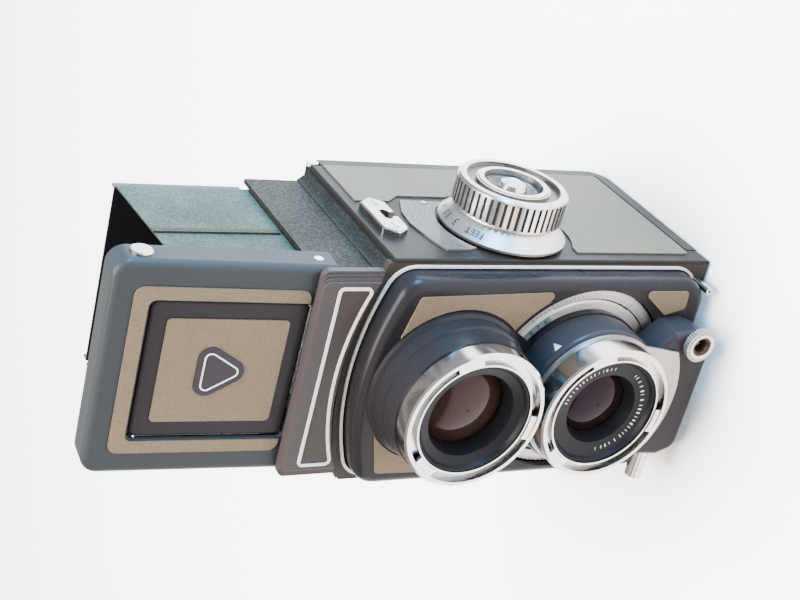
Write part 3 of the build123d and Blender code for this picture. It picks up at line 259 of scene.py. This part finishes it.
def knurled(name, colour, roughness, centre, across, teeth, dark):
    """Chrome with dark grooves around its axis; the darkness in the grooves is painted shade."""
    shader = Shader(name)
    split = shader.node("ShaderNodeSeparateXYZ")
    shader.link(shader.place, split.inputs["Vector"])
    parts = [shader.maths("SUBTRACT", split.outputs[letter], value) for letter, value in zip(across, centre)]
    angle = shader.maths("ARCTAN2", parts[0], parts[1])
    wave = shader.maths("SINE", shader.maths("MULTIPLY", angle, float(teeth)))
    ridge = shader.mapped(wave, -0.45, 0.45, 0, 1)
    scuffs = shader.noise(1400, 3)
    metal = shader.mixed(scuffs, scaled(colour, 0.85), colour)
    # the grooves between the ridges get the dark colour: painted shade in the knurl
    shader.link(shader.mixed(ridge, dark, metal), "Base Color")
    shader.link(shader.mapped(ridge, 0, 1, 0.35, 1.0), "Metallic")
    shader.link(shader.mapped(scuffs, 0.3, 0.7, roughness - 0.05, roughness + 0.1), "Roughness")
    shader.bump(ridge, 0.0001)
    return shader.material


def glassy(name, tint_and_shade, reflection, dust=0.02, clear=1.0, specular=0.3):
    """Coated lens glass: clear or dark, with a coloured reflection and a trace of dust; the dark lenses'
    colour is their coating's tint plus painted shade of the unlit lens inside.
    """
    shader = Shader(name, Transmission_Weight=clear, IOR=1.5, Specular_IOR_Level=specular,
                    Specular_Tint=reflection)
    specks = shader.mapped(shader.noise(2600, 3, 0.8), 0.62, 0.75, 0, 1)
    shader.link(shader.mixed(specks, tint_and_shade, scaled(tint_and_shade, 0.7)), "Base Color")
    shader.link(shader.mapped(specks, 0, 1, dust, 0.22), "Roughness")
    return shader.material


def plain_ink(name, colour, roughness=0.5):
    """Paint in engraved figures, slightly uneven; the grey one also gives the painted shade in the focus
    knob's grooves.
    """
    shader = Shader(name, Specular_IOR_Level=0.06)
    wear = shader.noise(1800, 4, 0.7)
    shader.link(shader.mixed(shader.mapped(wear, 0.4, 0.7, 0, 1), colour, scaled(colour, 0.8)), "Base Color")
    shader.link(shader.mapped(wear, 0.3, 0.7, roughness - 0.1, roughness + 0.1), "Roughness")
    return shader.material


# ---------------------------------------------------------------- materials
CHROME = (0.43, 0.42, 0.41, 1.0)
NICKEL = (0.70, 0.69, 0.68, 1.0)
SILVER_WHITE = (0.46, 0.44, 0.42, 1.0)


def split_colour(material, direction, limit, colour):
    """Recolours the surface past a limit along a direction, such as the black inside of a leaf."""
    tree = material.node_tree
    bsdf = tree.nodes["Principled BSDF"]
    place = tree.nodes.new("ShaderNodeTexCoord").outputs["Object"]
    dot = tree.nodes.new("ShaderNodeVectorMath")
    dot.operation = "DOT_PRODUCT"
    dot.inputs[1].default_value = direction
    tree.links.new(place, dot.inputs[0])
    past = tree.nodes.new("ShaderNodeMath")
    past.operation = "GREATER_THAN"
    past.inputs[1].default_value = limit
    tree.links.new(dot.outputs["Value"], past.inputs[0])
    mix = tree.nodes.new("ShaderNodeMix")
    mix.data_type = "RGBA"
    tree.links.new(past.outputs[0], mix.inputs["Factor"])
    tree.links.new(bsdf.inputs["Base Color"].links[0].from_socket, mix.inputs[6])
    mix.inputs[7].default_value = colour
    tree.links.new(mix.outputs[2], bsdf.inputs["Base Color"])
    return material


BLACK_PAINT = (0.006, 0.006, 0.007, 1.0)
# the rolled edge's strip: its own dark brown deepened by painted shade
ROLLED_BROWN_AND_SHADE = (0.022, 0.018, 0.013, 1.0)
LEAF_COLOURS = ((0.027, 0.035, 0.027, 1.0), (0.044, 0.057, 0.043, 1.0))
STRIP_STARTS = 27.15 * MM
INSIDE_ENDS = 26.8 * MM
REAR_INSIDE_ENDS = 22.8 * MM
LID_PIVOT = Vector((0, -23 * MM, 118 * MM))
LID_LEAN = math.radians(3.5)
BADGE_LINE_STARTS = 5.3 * MM


def leaf_enamel(name, side):
    """Crinkled enamel with a brown strip outside, whose dark brown is the rolled edge's own colour deepened by
    painted shade, and black inside; side is 1 for right and -1 for left.
    """
    outside = split_colour(crinkled(name, *LEAF_COLOURS), (side, 0, 0), STRIP_STARTS, ROLLED_BROWN_AND_SHADE)
    return split_colour(outside, (-side, 0, 0), -INSIDE_ENDS, BLACK_PAINT)


olive = painted("olive_body_paint", 0.0200, 0.0165, 0.0130, 0.42, 0.05, 0.00001, 0.05)
# the side plates wear the olive body paint at under half its brightness: painted shade that offsets the window
# lamp lighting this side
side_olive_shaded = painted("side_olive_shaded_paint", 0.0095, 0.0078, 0.0062, 0.40, 0.04, 0.000006, 0.05)
slate = painted("slate_gloss_enamel", 0.0085, 0.0076, 0.0082, 0.27, 0.03, 0.0, 0.12)
slate_satin = painted("slate_satin_enamel", 0.0130, 0.0115, 0.0130, 0.33, 0.04, 0.0, 0.15)
lid_grey = painted("lid_grey_paint", 0.0175, 0.0190, 0.0200, 0.34, 0.04, 0.000004, 0.2)
flap_grey = painted("flap_grey_paint", 0.0088, 0.0072, 0.0088, 0.3, 0.04, 0.0, 0.25)
plate_enamel = painted("nameplate_enamel", 0.0290, 0.0235, 0.0235, 0.32, 0.04, 0.0, 0.2)
panel_brown = painted("nameplate_panel_enamel", 0.022, 0.0175, 0.0165, 0.32, 0.06, 0.0, 0.3)
inside_black = painted("inside_black_paint", 0.006, 0.006, 0.007, 0.55, 0.1, 0.00002, 0.0)
barrel_black = turned("barrel_black", (0.005, 0.005, 0.006, 1.0), 0.35, (TAKING.x, TAKING.z), "XZ", 0.000006,
                      6000, 0.0, 0.05)
hood_paint = crinkled("hood_crinkle_paint", (0.0050, 0.0050, 0.0042, 1.0), (0.016, 0.016, 0.013, 1.0))
leaf_right_paint = leaf_enamel("leaf_right_enamel", 1)
leaf_left_paint = leaf_enamel("leaf_left_enamel", -1)
greige = leathery("greige_leatherette", (0.108, 0.080, 0.050, 1.0), (0.074, 0.054, 0.034, 1.0))
# the side leatherette is a darker copy of the greige leatherette: painted shade that offsets the window lamp
# lighting this side
side_leather_shaded = leathery("side_leatherette", (0.096, 0.074, 0.048, 1.0), (0.070, 0.054, 0.036, 1.0), 0.42)
chrome_plain = turned("chrome_plain", CHROME, 0.16)
chrome_viewing = turned("chrome_viewing_ring", CHROME, 0.15, (VIEWING.x, VIEWING.z))
chrome_taking = turned("chrome_taking_ring", CHROME, 0.15, (TAKING.x, TAKING.z))
satin_taking = turned("satin_taking", (0.24, 0.235, 0.225, 1.0), 0.38, (TAKING.x, TAKING.z))
white_satin = turned("white_satin_ring", (0.36, 0.36, 0.35, 1.0), 0.42, (TAKING.x, TAKING.z), metallic=0.7)
flange_silver = turned("flange_silver", (0.42, 0.405, 0.39, 1.0), 0.3, (KNOB.y, KNOB.z), "YZ", 0.000003)
knob_chrome = turned("knob_chrome", (0.44, 0.42, 0.40, 1.0), 0.2, (KNOB.y, KNOB.z), "YZ")
knob_dim = turned("knob_dim_metal", (0.07, 0.062, 0.058, 1.0), 0.34, (KNOB.y, KNOB.z), "YZ")
knob_slate = turned("knob_slate", (0.022, 0.019, 0.018, 1.0), 0.36, (KNOB.y, KNOB.z), "YZ", metallic=0.0,
                    specular=0.15)
# the flash lock ring's knurl grooves are painted dark grey as shade
socket_chrome = knurled("socket_ring_chrome", CHROME, 0.22, (SOCKET.x, SOCKET.z), "XZ", 36,
                        (0.1, 0.1, 0.1, 1))
steel = turned("plain_steel", NICKEL, 0.3)
brass = turned("brass_bush", (0.62, 0.47, 0.22, 1.0), 0.3, (0, 0), "XY")
plate_satin = painted("depth_plate_satin", 0.075, 0.062, 0.048, 0.32, 0.03, 0.0, 0.4)
spool_black = painted("spool_plastic", 0.008, 0.008, 0.008, 0.4, 0.08, 0.0, 0.1)
# the lens glasses pass little light and show a dark brownish colour: the coating's tint plus painted shade of
# the dark lens interior
viewing_clear = glassy("viewing_lens_glass", (0.013, 0.0075, 0.0065, 1.0), (0.95, 0.62, 0.66, 1.0),
                       clear=0.12, specular=0.06)
taking_clear = glassy("taking_lens_glass", (0.005, 0.0032, 0.0032, 1.0), (0.80, 0.62, 0.85, 1.0),
                      clear=0.08, specular=0.03)
screen_clear = glassy("screen_glass", (0.86, 0.9, 0.88, 1.0), (1.0, 1.0, 1.0, 1.0), 0.3)
mirror_silver = turned("mirror_silver", (0.92, 0.93, 0.93, 1.0), 0.05, None, "XZ", 0.0)
ink_black = plain_ink("ink_black", (0.006, 0.006, 0.007, 1.0))
ink_white = plain_ink("ink_white", (0.42, 0.42, 0.40, 1.0))
grey_ink_and_shade = plain_ink("grey_ink_and_shade", (0.02, 0.023, 0.025, 1.0))
scale_blue = plain_ink("scale_pale_blue", (0.085, 0.125, 0.14, 1.0), 0.35)
index_cream = plain_ink("index_cream", (0.30, 0.28, 0.22, 1.0), 0.4)
silver_line = plain_ink("silver_line", SILVER_WHITE, 0.35)
bakelite = painted("socket_bakelite", 0.030, 0.016, 0.011, 0.35, 0.08, 0.0, 0.3)
leaf_rear_paint = split_colour(painted("leaf_rear_enamel", 0.035, 0.042, 0.035, 0.28, 0.03, 0.0, 0.4),
                               (0, -1, 0), -REAR_INSIDE_ENDS, BLACK_PAINT)
# the badge's raised line is what stands furthest out of the leaning lid
LID_OUTWARD = Vector((0, -math.cos(LID_LEAN), math.sin(LID_LEAN)))
LINE_HEIGHT = LID_OUTWARD.dot(LID_PIVOT) + BADGE_LINE_STARTS
badge_enamel = split_colour(painted("badge_enamel", 0.013, 0.011, 0.014, 0.25, 0.04, 0.0, 0.7),
                            tuple(LID_OUTWARD), LINE_HEIGHT, SILVER_WHITE)

WEARS = {
    "main_casing": inside_black, "front_plate": olive, "side_plates": side_olive_shaded,
    "side_leatherette": side_leather_shaded,
    "depth_plate": plate_satin, "strap_lugs": chrome_plain, "body_screws": chrome_plain,
    "nameplate": plate_enamel, "front_trim": silver_line, "mirror": mirror_silver,
    "focusing_screen": screen_clear, "screen_frame": inside_black, "film_guides": steel,
    "hood_base": hood_paint, "hinge_pins": steel, "counter_window": screen_clear, "back_door": olive,
    "base_plate": olive, "back_leatherette": greige,
    "pressure_plate": inside_black, "tripod_bush": brass, "feet": slate_satin, "back_latch": chrome_plain,
    "take_up_spool": spool_black, "supply_spool": spool_black, "advance_shaft": chrome_plain,
    "advance_knob": chrome_plain, "supply_spool_knob": chrome_plain, "focus_shaft": knob_chrome,
    "distance_flange": flange_silver, "focus_knob": knob_chrome, "lens_board": slate,
    "board_leatherette": greige, "viewing_collar": slate, "shutter_housing": slate_satin,
    "shutter_faceplate": satin_taking, "viewing_ring": chrome_viewing, "taking_ring": chrome_taking,
    "lens_barrels": barrel_black, "viewing_glass": viewing_clear, "taking_glass": taking_clear,
    "shutter_case": barrel_black, "shutter_blades": steel, "guide_rods": steel, "flash_socket": chrome_plain,
    "speed_ring": white_satin, "aperture_ring": white_satin, "flash_lock_ring": socket_chrome,
    "release_plunger": chrome_plain, "side_leaf_right": leaf_right_paint, "side_leaf_left": leaf_left_paint,
    "rear_leaf": leaf_rear_paint, "lid": lid_grey, "lid_leatherette": greige, "lid_rivets": chrome_plain,
    "finder_flap": flap_grey, "finder_leatherette": greige, "finder_badge": badge_enamel,
    "magnifier_frame": inside_black, "magnifier_lens": viewing_clear,
}
for node_name, material in WEARS.items():
    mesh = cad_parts[node_name].data
    mesh.materials.clear()
    mesh.materials.append(material)


# ---------------------------------------------------------------- piece helpers
def finish_piece(name, mesh, body, material):
    """Makes an object from a mesh and lets it ride on its body."""
    piece = bpy.data.objects.new(name, mesh)
    bpy.context.scene.collection.objects.link(piece)
    mesh.materials.append(material)
    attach(piece, body)


def bm_piece(name, bm, body, material):
    """Turns a bmesh into a finished piece."""
    bmesh.ops.recalc_face_normals(bm, faces=bm.faces)
    mesh = bpy.data.meshes.new(name)
    bm.to_mesh(mesh)
    bm.free()
    finish_piece(name, mesh, body, material)


def slab(bm, outline, normal, thickness):
    """A closed slab: an outline of points, raised along a normal."""
    lift = normal * thickness
    under = [bm.verts.new(point) for point in outline]
    over = [bm.verts.new(point + lift) for point in outline]
    bm.faces.new(under)
    bm.faces.new(over)
    count = len(outline)
    for index in range(count):
        after = (index + 1) % count
        bm.faces.new((under[index], under[after], over[after], over[index]))


def around(centre, axis, radius, degrees, along=0.0):
    """A point around an axis: X turns from +Z towards -Y, Y turns from +X towards +Z."""
    angle = math.radians(degrees)
    if axis == "X":
        return Vector((along, centre.y - radius * math.sin(angle), centre.z + radius * math.cos(angle)))
    return Vector((centre.x + radius * math.cos(angle), along, centre.z + radius * math.sin(angle)))


def away(centre, axis, degrees):
    """Direction straight out from an axis at an angle."""
    return (around(centre, axis, 1, degrees) - around(centre, axis, 0, degrees)).normalized()


def dash(bm, start, along, half, normal, thickness=INK):
    """A thin raised bar from a point along a vector, reaching half its width to each side."""
    end = start + along
    slab(bm, [start - half, start + half, end + half, end - half], normal, thickness)


def figures(name, text, at, right, up, size, body, material, raised=INK):
    """Printed figures: text centred at a point, reading along right with its top along up."""
    curve = bpy.data.curves.new(name, "FONT")
    curve.body = text
    curve.size = size
    curve.align_x = "CENTER"
    curve.align_y = "CENTER"
    curve.resolution_u = 3
    loose = bpy.data.objects.new(name, curve)
    bpy.context.scene.collection.objects.link(loose)
    right = right.normalized()
    up = (up - right * up.dot(right)).normalized()
    normal = right.cross(up)
    turn = Matrix((right, up, normal)).transposed().to_4x4()
    mesh = bpy.data.meshes.new_from_object(loose.evaluated_get(bpy.context.evaluated_depsgraph_get()))
    bpy.data.objects.remove(loose)
    mesh.transform(Matrix.Translation(at + normal * raised) @ turn)
    mesh.materials.clear()
    mesh.name = name
    finish_piece(name, mesh, body, material)


def turned_piece(name, centre, axis, profile, start, body, material, steps=96):
    """A ring of revolution from (radius, height) points in mm; heights run along X, or towards -Y."""
    bm = bmesh.new()
    sign = 1 if axis == "X" else -1
    table = [[bm.verts.new(around(centre, axis, radius * MM, 360 / steps * i, start + sign * height * MM))
              for i in range(steps)] for radius, height in profile]
    for first, second in zip(table, table[1:] + table[:1]):
        for i in range(steps):
            j = (i + 1) % steps
            bm.faces.new((first[i], first[j], second[j], second[i]))
    bm_piece(name, bm, body, material)


# ---------------------------------------------------------------- distance scale on the focus flange
def cone_scale():
    """Distance figures and ticks on the flange's cone."""
    foot_x, foot_r = low("distance_flange").x + 0.8 * MM, 17.8 * MM
    top_x, top_r = high("distance_flange").x - 0.9 * MM, 14.0 * MM
    slope = Vector((top_x - foot_x, 0, top_r - foot_r)).normalized()

    def spot(share, degrees):
        """Point at a share of the cone's height, with its directions up the cone and out of it."""
        outward = away(KNOB, "X", degrees)
        at = around(KNOB, "X", foot_r + (top_r - foot_r) * share, degrees, foot_x + (top_x - foot_x) * share)
        return at, RIGHT * slope.x + outward * slope.z, RIGHT * -slope.z + outward * slope.x

    places = (("FEET", 32), ("3", 8), ("3.5", -9), ("4", -27), ("5", -46), ("6", -66), ("8", -88),
              ("10", -110), ("15", -132), ("30", -153), ("∞", -172))
    short, large, small = 2, 3.2 * MM, 2.7 * MM
    for index, (number, degrees) in enumerate(places):
        at, up, normal = spot(0.42, degrees)
        size = large if len(number) <= short else small
        figures(f"distance_{index}", number, at, -up.cross(normal), -up, size, "focus", ink_black)
    bm = bmesh.new()
    ticks, first_tick = 52, 28
    for index in range(ticks):
        degrees = first_tick + 360 / ticks * (index + 0.5)
        at, up, normal = spot(0.86, degrees)
        dash(bm, at, up * 0.5 * MM, RIGHT.cross(away(KNOB, "X", degrees)) * 0.07 * MM, normal)
    bm_piece("distance_ticks", bm, "focus", ink_black)


cone_scale()


# ---------------------------------------------------------------- focus knob face and grooves
def knob_face():
    """Dark disc with engraved ticks, rings around it, and painted shade in the grooves of the rim."""
    foot_x, top_x = low("focus_knob").x, high("focus_knob").x
    face_x = top_x - 2.0 * MM
    turned_piece("knob_disc", KNOB, "X", [(3.2, 0.0), (3.2, 0.25), (7.0, 0.30), (7.9, 0.15), (8.1, 0.0)],
                 face_x, "focus", knob_slate)
    marks = bmesh.new()
    mark_count, long_every, mark_r = 40, 5, 6.9 * MM
    for index in range(mark_count):
        degrees = 360 / mark_count * index
        outward = away(KNOB, "X", degrees)
        reach = (1.3 if index % long_every == 0 else 0.7) * MM
        start = around(KNOB, "X", mark_r, degrees, face_x + 0.31 * MM)
        dash(marks, start, -outward * reach, RIGHT.cross(outward) * 0.07 * MM, RIGHT)
    bm_piece("knob_marks", marks, "focus", ink_white)
    # dark grey bars fill the rim's grooves: painted shade
    grooves = bmesh.new()
    groove_count, rim_r, groove_foot = 50, 14.66 * MM, foot_x + 0.05 * MM
    along = RIGHT * (top_x - 0.95 * MM - groove_foot)
    for index in range(groove_count):
        degrees = 90 - 360 / groove_count * index
        outward = away(KNOB, "X", degrees)
        base = around(KNOB, "X", rim_r, degrees, groove_foot)
        dash(grooves, base, along, RIGHT.cross(outward) * 0.42 * MM, outward, 0.08 * MM)
    bm_piece("knob_groove_shade", grooves, "focus", grey_ink_and_shade)
    turned_piece("knob_inner_ring", KNOB, "X",
                 [(9.65, -0.3), (9.7, 0.75), (9.95, 0.85), (10.2, 0.75), (10.25, -0.3)],
                 top_x - 1.05 * MM, "focus", knob_chrome)
    turned_piece("knob_channel", KNOB, "X",
                 [(10.3, 0.02), (10.3, 0.12), (11.6, 0.2), (12.9, 0.12), (12.9, 0.02)],
                 top_x - 1.4 * MM, "focus", knob_dim)


knob_face()


# ---------------------------------------------------------------- depth of field plate
def depth_marks():
    """Arcs and figures of the depth of field table on the fan shaped plate."""
    plate_x = high("depth_plate").x
    bm = bmesh.new()
    first_degree, sweep, pieces, filled, line, ink = -50, 100, 60, 0.8, 0.1, 0.02 * MM
    for radius in (19.6, 21.0, 22.4, 23.8):
        for index in range(pieces):
            start = first_degree + sweep / pieces * index
            end = first_degree + sweep / pieces * (index + filled)
            slab(bm, [around(KNOB, "X", reach * MM, degrees, plate_x) for reach, degrees in
                      ((radius, start), (radius, end), (radius + line, end), (radius + line, start))],
                 RIGHT, ink)
    bm_piece("depth_arcs", bm, "casing", grey_ink_and_shade)
    stops = ["22", "16", "11", "8", "5.6", "4", "3.5", "4", "5.6", "8", "11", "16", "22"]
    for index, stop in enumerate(stops):
        degrees = -45 + 90 / (len(stops) - 1) * index
        outward = away(KNOB, "X", degrees)
        figures(f"depth_{index}", stop, around(KNOB, "X", 25.1 * MM, degrees, plate_x),
                outward.cross(RIGHT), outward, 1.5 * MM, "casing", grey_ink_and_shade, ink)


depth_marks()


# ---------------------------------------------------------------- exposure scales between the lenses
def ring_patch(name, y, inner, outer, start, end, body, material):
    """A curved strip on the front of a ring about the taking axis."""
    bm = bmesh.new()
    steps, thickness = 24, 0.05 * MM
    table = []
    for radius, depth in ((inner, y), (outer, y), (outer, y - thickness), (inner, y - thickness)):
        table.append([bm.verts.new(around(TAKING, "Y", radius, start + (end - start) / steps * i, depth))
                      for i in range(steps + 1)])
    for first, second in zip(table, table[1:] + table[:1]):
        for i in range(steps):
            bm.faces.new((first[i], first[i + 1], second[i + 1], second[i]))
    for i in (0, steps):
        bm.faces.new([row[i] for row in table])
    bm_piece(name, bm, body, material)


def exposure_scales():
    """Pale blue scales with figures on the aperture ring, a toothed line, and ticks on the speed ring."""
    front = low("aperture_ring").y
    numbers, margin = ("6", "7", "8", "9"), 4
    for side, start, end in (("right", 34, 61), ("left", 119, 146)):
        ring_patch(f"scale_{side}", front, 21.1 * MM, 23.3 * MM, start, end, "aperture", scale_blue)
        for index, number in enumerate(numbers):
            degrees = start + margin + (end - start - 2 * margin) / (len(numbers) - 1) * index
            outward = away(TAKING, "Y", degrees)
            at = around(TAKING, "Y", 22.2 * MM, degrees, front - 0.05 * MM)
            figures(f"scale_{side}_{index}", number, at, outward.cross(FORWARD), outward, 2.0 * MM, "aperture",
                    ink_black)
    ticks = bmesh.new()
    teeth = bmesh.new()
    speed_front, long_every = low("speed_ring").y, 5
    for side in (0, 180):
        for index in range(31):
            degrees = side - 45 + 3 * index
            outward = away(TAKING, "Y", degrees)
            reach = (1.2 if index % long_every == 0 else 0.7) * MM
            dash(ticks, around(TAKING, "Y", 24.9 * MM, degrees, speed_front), outward * reach,
                 BACKWARD.cross(outward) * 0.08 * MM, FORWARD)
        for index in range(40):
            degrees = side - 30 + 1.5 * index
            outward = away(TAKING, "Y", degrees)
            dash(teeth, around(TAKING, "Y", 23.85 * MM, degrees, front + 0.6 * MM), outward * 0.42 * MM,
                 BACKWARD.cross(outward) * 0.16 * MM, FORWARD, 0.25 * MM)
    bm_piece("speed_ticks", ticks, "speed", ink_black)
    bm_piece("ring_teeth", teeth, "aperture", ink_black)


exposure_scales()


def index_mark():
    """Small cream triangle on the housing's upper right shoulder."""
    y = middle("shutter_housing").y - 1.4 * MM
    centre = around(TAKING, "Y", 21.0 * MM, 44, y)
    outward = away(TAKING, "Y", 44)
    across = BACKWARD.cross(outward) * 1.1 * MM
    broad_end = centre + FORWARD * 1.3 * MM
    bm = bmesh.new()
    slab(bm, [broad_end + across, broad_end - across, centre - FORWARD * 1.2 * MM], outward, 0.08 * MM)
    bm_piece("index_triangle", bm, "lens_panel", index_cream)


index_mark()


# ---------------------------------------------------------------- lens mount engraving
def barrel_ticks(name, centre, front_y, inner, outer, drop):
    """Short white dashes on the sloping front of a barrel, uneven and with a wide gap on one side."""
    bm = bmesh.new()
    degrees, gap, gap_starts, gap_ends = 0.0, 112, 78, 190
    while degrees < 330:
        outward = away(centre, "Y", degrees)
        across = BACKWARD.cross(outward)
        width = random.choice((0.14, 0.2, 0.3, 0.42)) * MM
        start = around(centre, "Y", inner, degrees, front_y + drop)
        end = around(centre, "Y", outer, degrees, front_y)
        normal = (end - start).cross(across).normalized()
        normal = normal if normal.y < 0 else -normal
        dash(bm, start, end - start, across * width / 2, normal)
        in_dashes = degrees < gap_starts or degrees > gap_ends
        degrees += random.choice((5.0, 5.4, 6.0, 8.0)) if in_dashes else gap
    bm_piece(name, bm, "lens_panel", ink_white)


front = low("lens_barrels").y
barrel_ticks("viewing_engraving", VIEWING, front + 1.35 * MM, 13.1 * MM, 13.9 * MM, 0.33 * MM)
barrel_ticks("taking_engraving", TAKING, front + 1.4 * MM, 12.3 * MM, 13.2 * MM, 0.17 * MM)


def socket_insert():
    """Brown insulator deep in the flash socket, with its ribs and throat."""
    floor_y = high("flash_socket").y - 4.8 * MM
    ribs = [(0.95, 0.0), (0.95, 0.5), (1.2, 0.5), (1.2, 0.2), (1.5, 0.2), (1.5, 0.5), (1.7, 0.5), (1.7, 0.2),
            (2.05, 0.2), (2.05, 0.0)]
    throat = [(2.02, 0.6), (2.02, 4.9), (2.35, 5.4), (2.85, 5.75), (2.85, 5.85), (2.3, 5.6), (1.96, 4.9),
              (1.96, 0.6)]
    for name, profile in (("socket_insert", ribs), ("socket_throat", throat)):
        turned_piece(name, SOCKET, "Y", profile, floor_y, "lens_panel", bakelite, 48)


socket_insert()


# ---------------------------------------------------------------- nameplate panel
def nameplate_panel():
    """Brown panel inside the silver border, left blank; its lower edge is an arch."""
    half, foot, crown, top = 25.7, 106.1, 110.9, 114.5
    y = low("nameplate").y
    bm = bmesh.new()
    count = 28
    outline = [Vector((-half * MM, y, top * MM)), Vector((half * MM, y, top * MM))]
    for i in range(count + 1):
        x = half - 2 * half * i / count
        z = crown - (crown - foot) * (x / half) ** 2
        outline.append(Vector((x * MM, y, z * MM)))
    slab(bm, outline, FORWARD, 0.08 * MM)
    bm_piece("nameplate_panel", bm, "casing", panel_brown)


nameplate_panel()


def body_seams():
    """Dark joint lines around the leatherette panels of the right side."""
    x = high("side_plates").x
    bm = bmesh.new()
    edges = [((24.9, 5.0), (24.9, 97.3)), ((-26.0, 5.0), (24.9, 5.0)), ((6.3, 66.0), (6.3, 83.1)),
             ((2.8, 87.0), (2.8, 97.3)), ((2.8, 97.3), (24.9, 97.3))]
    for (y0, z0), (y1, z1) in edges:
        start, end = Vector((x, y0 * MM, z0 * MM)), Vector((x, y1 * MM, z1 * MM))
        dash(bm, start, end - start, RIGHT.cross((end - start).normalized()) * 0.14 * MM, RIGHT)
    bm_piece("panel_seams", bm, "casing", grey_ink_and_shade)


body_seams()

# ---------------------------------------------------------------- floor, light and camera
floor_mesh = bpy.data.meshes.new("floor")
reach = 3.0
floor_z = CAD_BOX[0].z
floor_mesh.from_pydata([(-reach, -reach, floor_z), (reach, -reach, floor_z), (reach, reach, floor_z),
                        (-reach, reach, floor_z)], [], [(0, 1, 2, 3)])
floor = bpy.data.objects.new("floor", floor_mesh)
bpy.context.scene.collection.objects.link(floor)
cloth = Shader("white_cloth", Roughness=0.9)
# the floor is painted darker and warmer close to the front of the base: a painted shadow of the camera
base_shadow_distance = cloth.node("ShaderNodeVectorMath", operation="DISTANCE")
base_shadow_distance.inputs[1].default_value = (0.03, -0.07, floor_z)
cloth.link(cloth.place, base_shadow_distance.inputs[0])
pale = cloth.mixed(cloth.noise(30, 5), (0.94, 0.94, 0.94, 1), (0.915, 0.912, 0.908, 1))
cloth.link(cloth.mixed(cloth.mapped(base_shadow_distance.outputs["Value"], 0.03, 0.12, 0, 1), (0.90, 0.80, 0.745, 1), pale),
           "Base Color")
cloth.bump(cloth.noise(900, 3), 0.0001)
floor_mesh.materials.append(cloth.material)


def soft_box(name, at, aim, width, height, watts, colour):
    """Rectangular lamp pointed at a target."""
    data = bpy.data.lights.new(name, "AREA")
    data.shape = "RECTANGLE"
    data.size = width
    data.size_y = height
    data.energy = watts
    data.color = colour
    lamp = bpy.data.objects.new(name, data)
    bpy.context.scene.collection.objects.link(lamp)
    lamp.location = at
    lamp.rotation_euler = (Vector(aim) - Vector(at)).to_track_quat("-Z", "Y").to_euler()


soft_box("window", (1.25, 0.05, 0.20), (0, 0, 0.08), 0.8, 0.36, 125, (0.20, 0.58, 1.0))
soft_box("overhead", (0.15, -0.1, 1.5), (0, 0, 0), 1.2, 1.2, 215, (1.0, 0.965, 0.935))
soft_box("room", (-0.6, -1.3, 0.7), (0, 0, 0.08), 1.0, 0.7, 12, (1.0, 0.86, 0.72))

world = bpy.data.worlds.new("studio")
bpy.context.scene.world = world
world.use_nodes = True
background = world.node_tree.nodes["Background"]
background.inputs["Color"].default_value = (1.0, 0.985, 0.97, 1.0)
background.inputs["Strength"].default_value = 0.8

CAMERA_PLACE = (0.1857, -0.3187, 0.2797)
AZIMUTH, ELEVATION, ROLL = math.radians(29.58), math.radians(28.91), math.radians(-90.425)
camera_data = bpy.data.cameras.new("camera")
camera_data.lens = 67.48
camera_data.sensor_width = 36
camera_data.clip_start = 0.01
camera = bpy.data.objects.new("camera", camera_data)
bpy.context.scene.collection.objects.link(camera)
back = Vector((math.sin(AZIMUTH) * math.cos(ELEVATION), -math.cos(AZIMUTH) * math.cos(ELEVATION),
               math.sin(ELEVATION)))
level = Vector((math.cos(AZIMUTH), math.sin(AZIMUTH), 0))
over = back.cross(level)
right = level * math.cos(ROLL) + over * math.sin(ROLL)
camera.matrix_world = (Matrix.Translation(CAMERA_PLACE)
                       @ Matrix((right, back.cross(right), back)).transposed().to_4x4())
bpy.context.scene.camera = camera
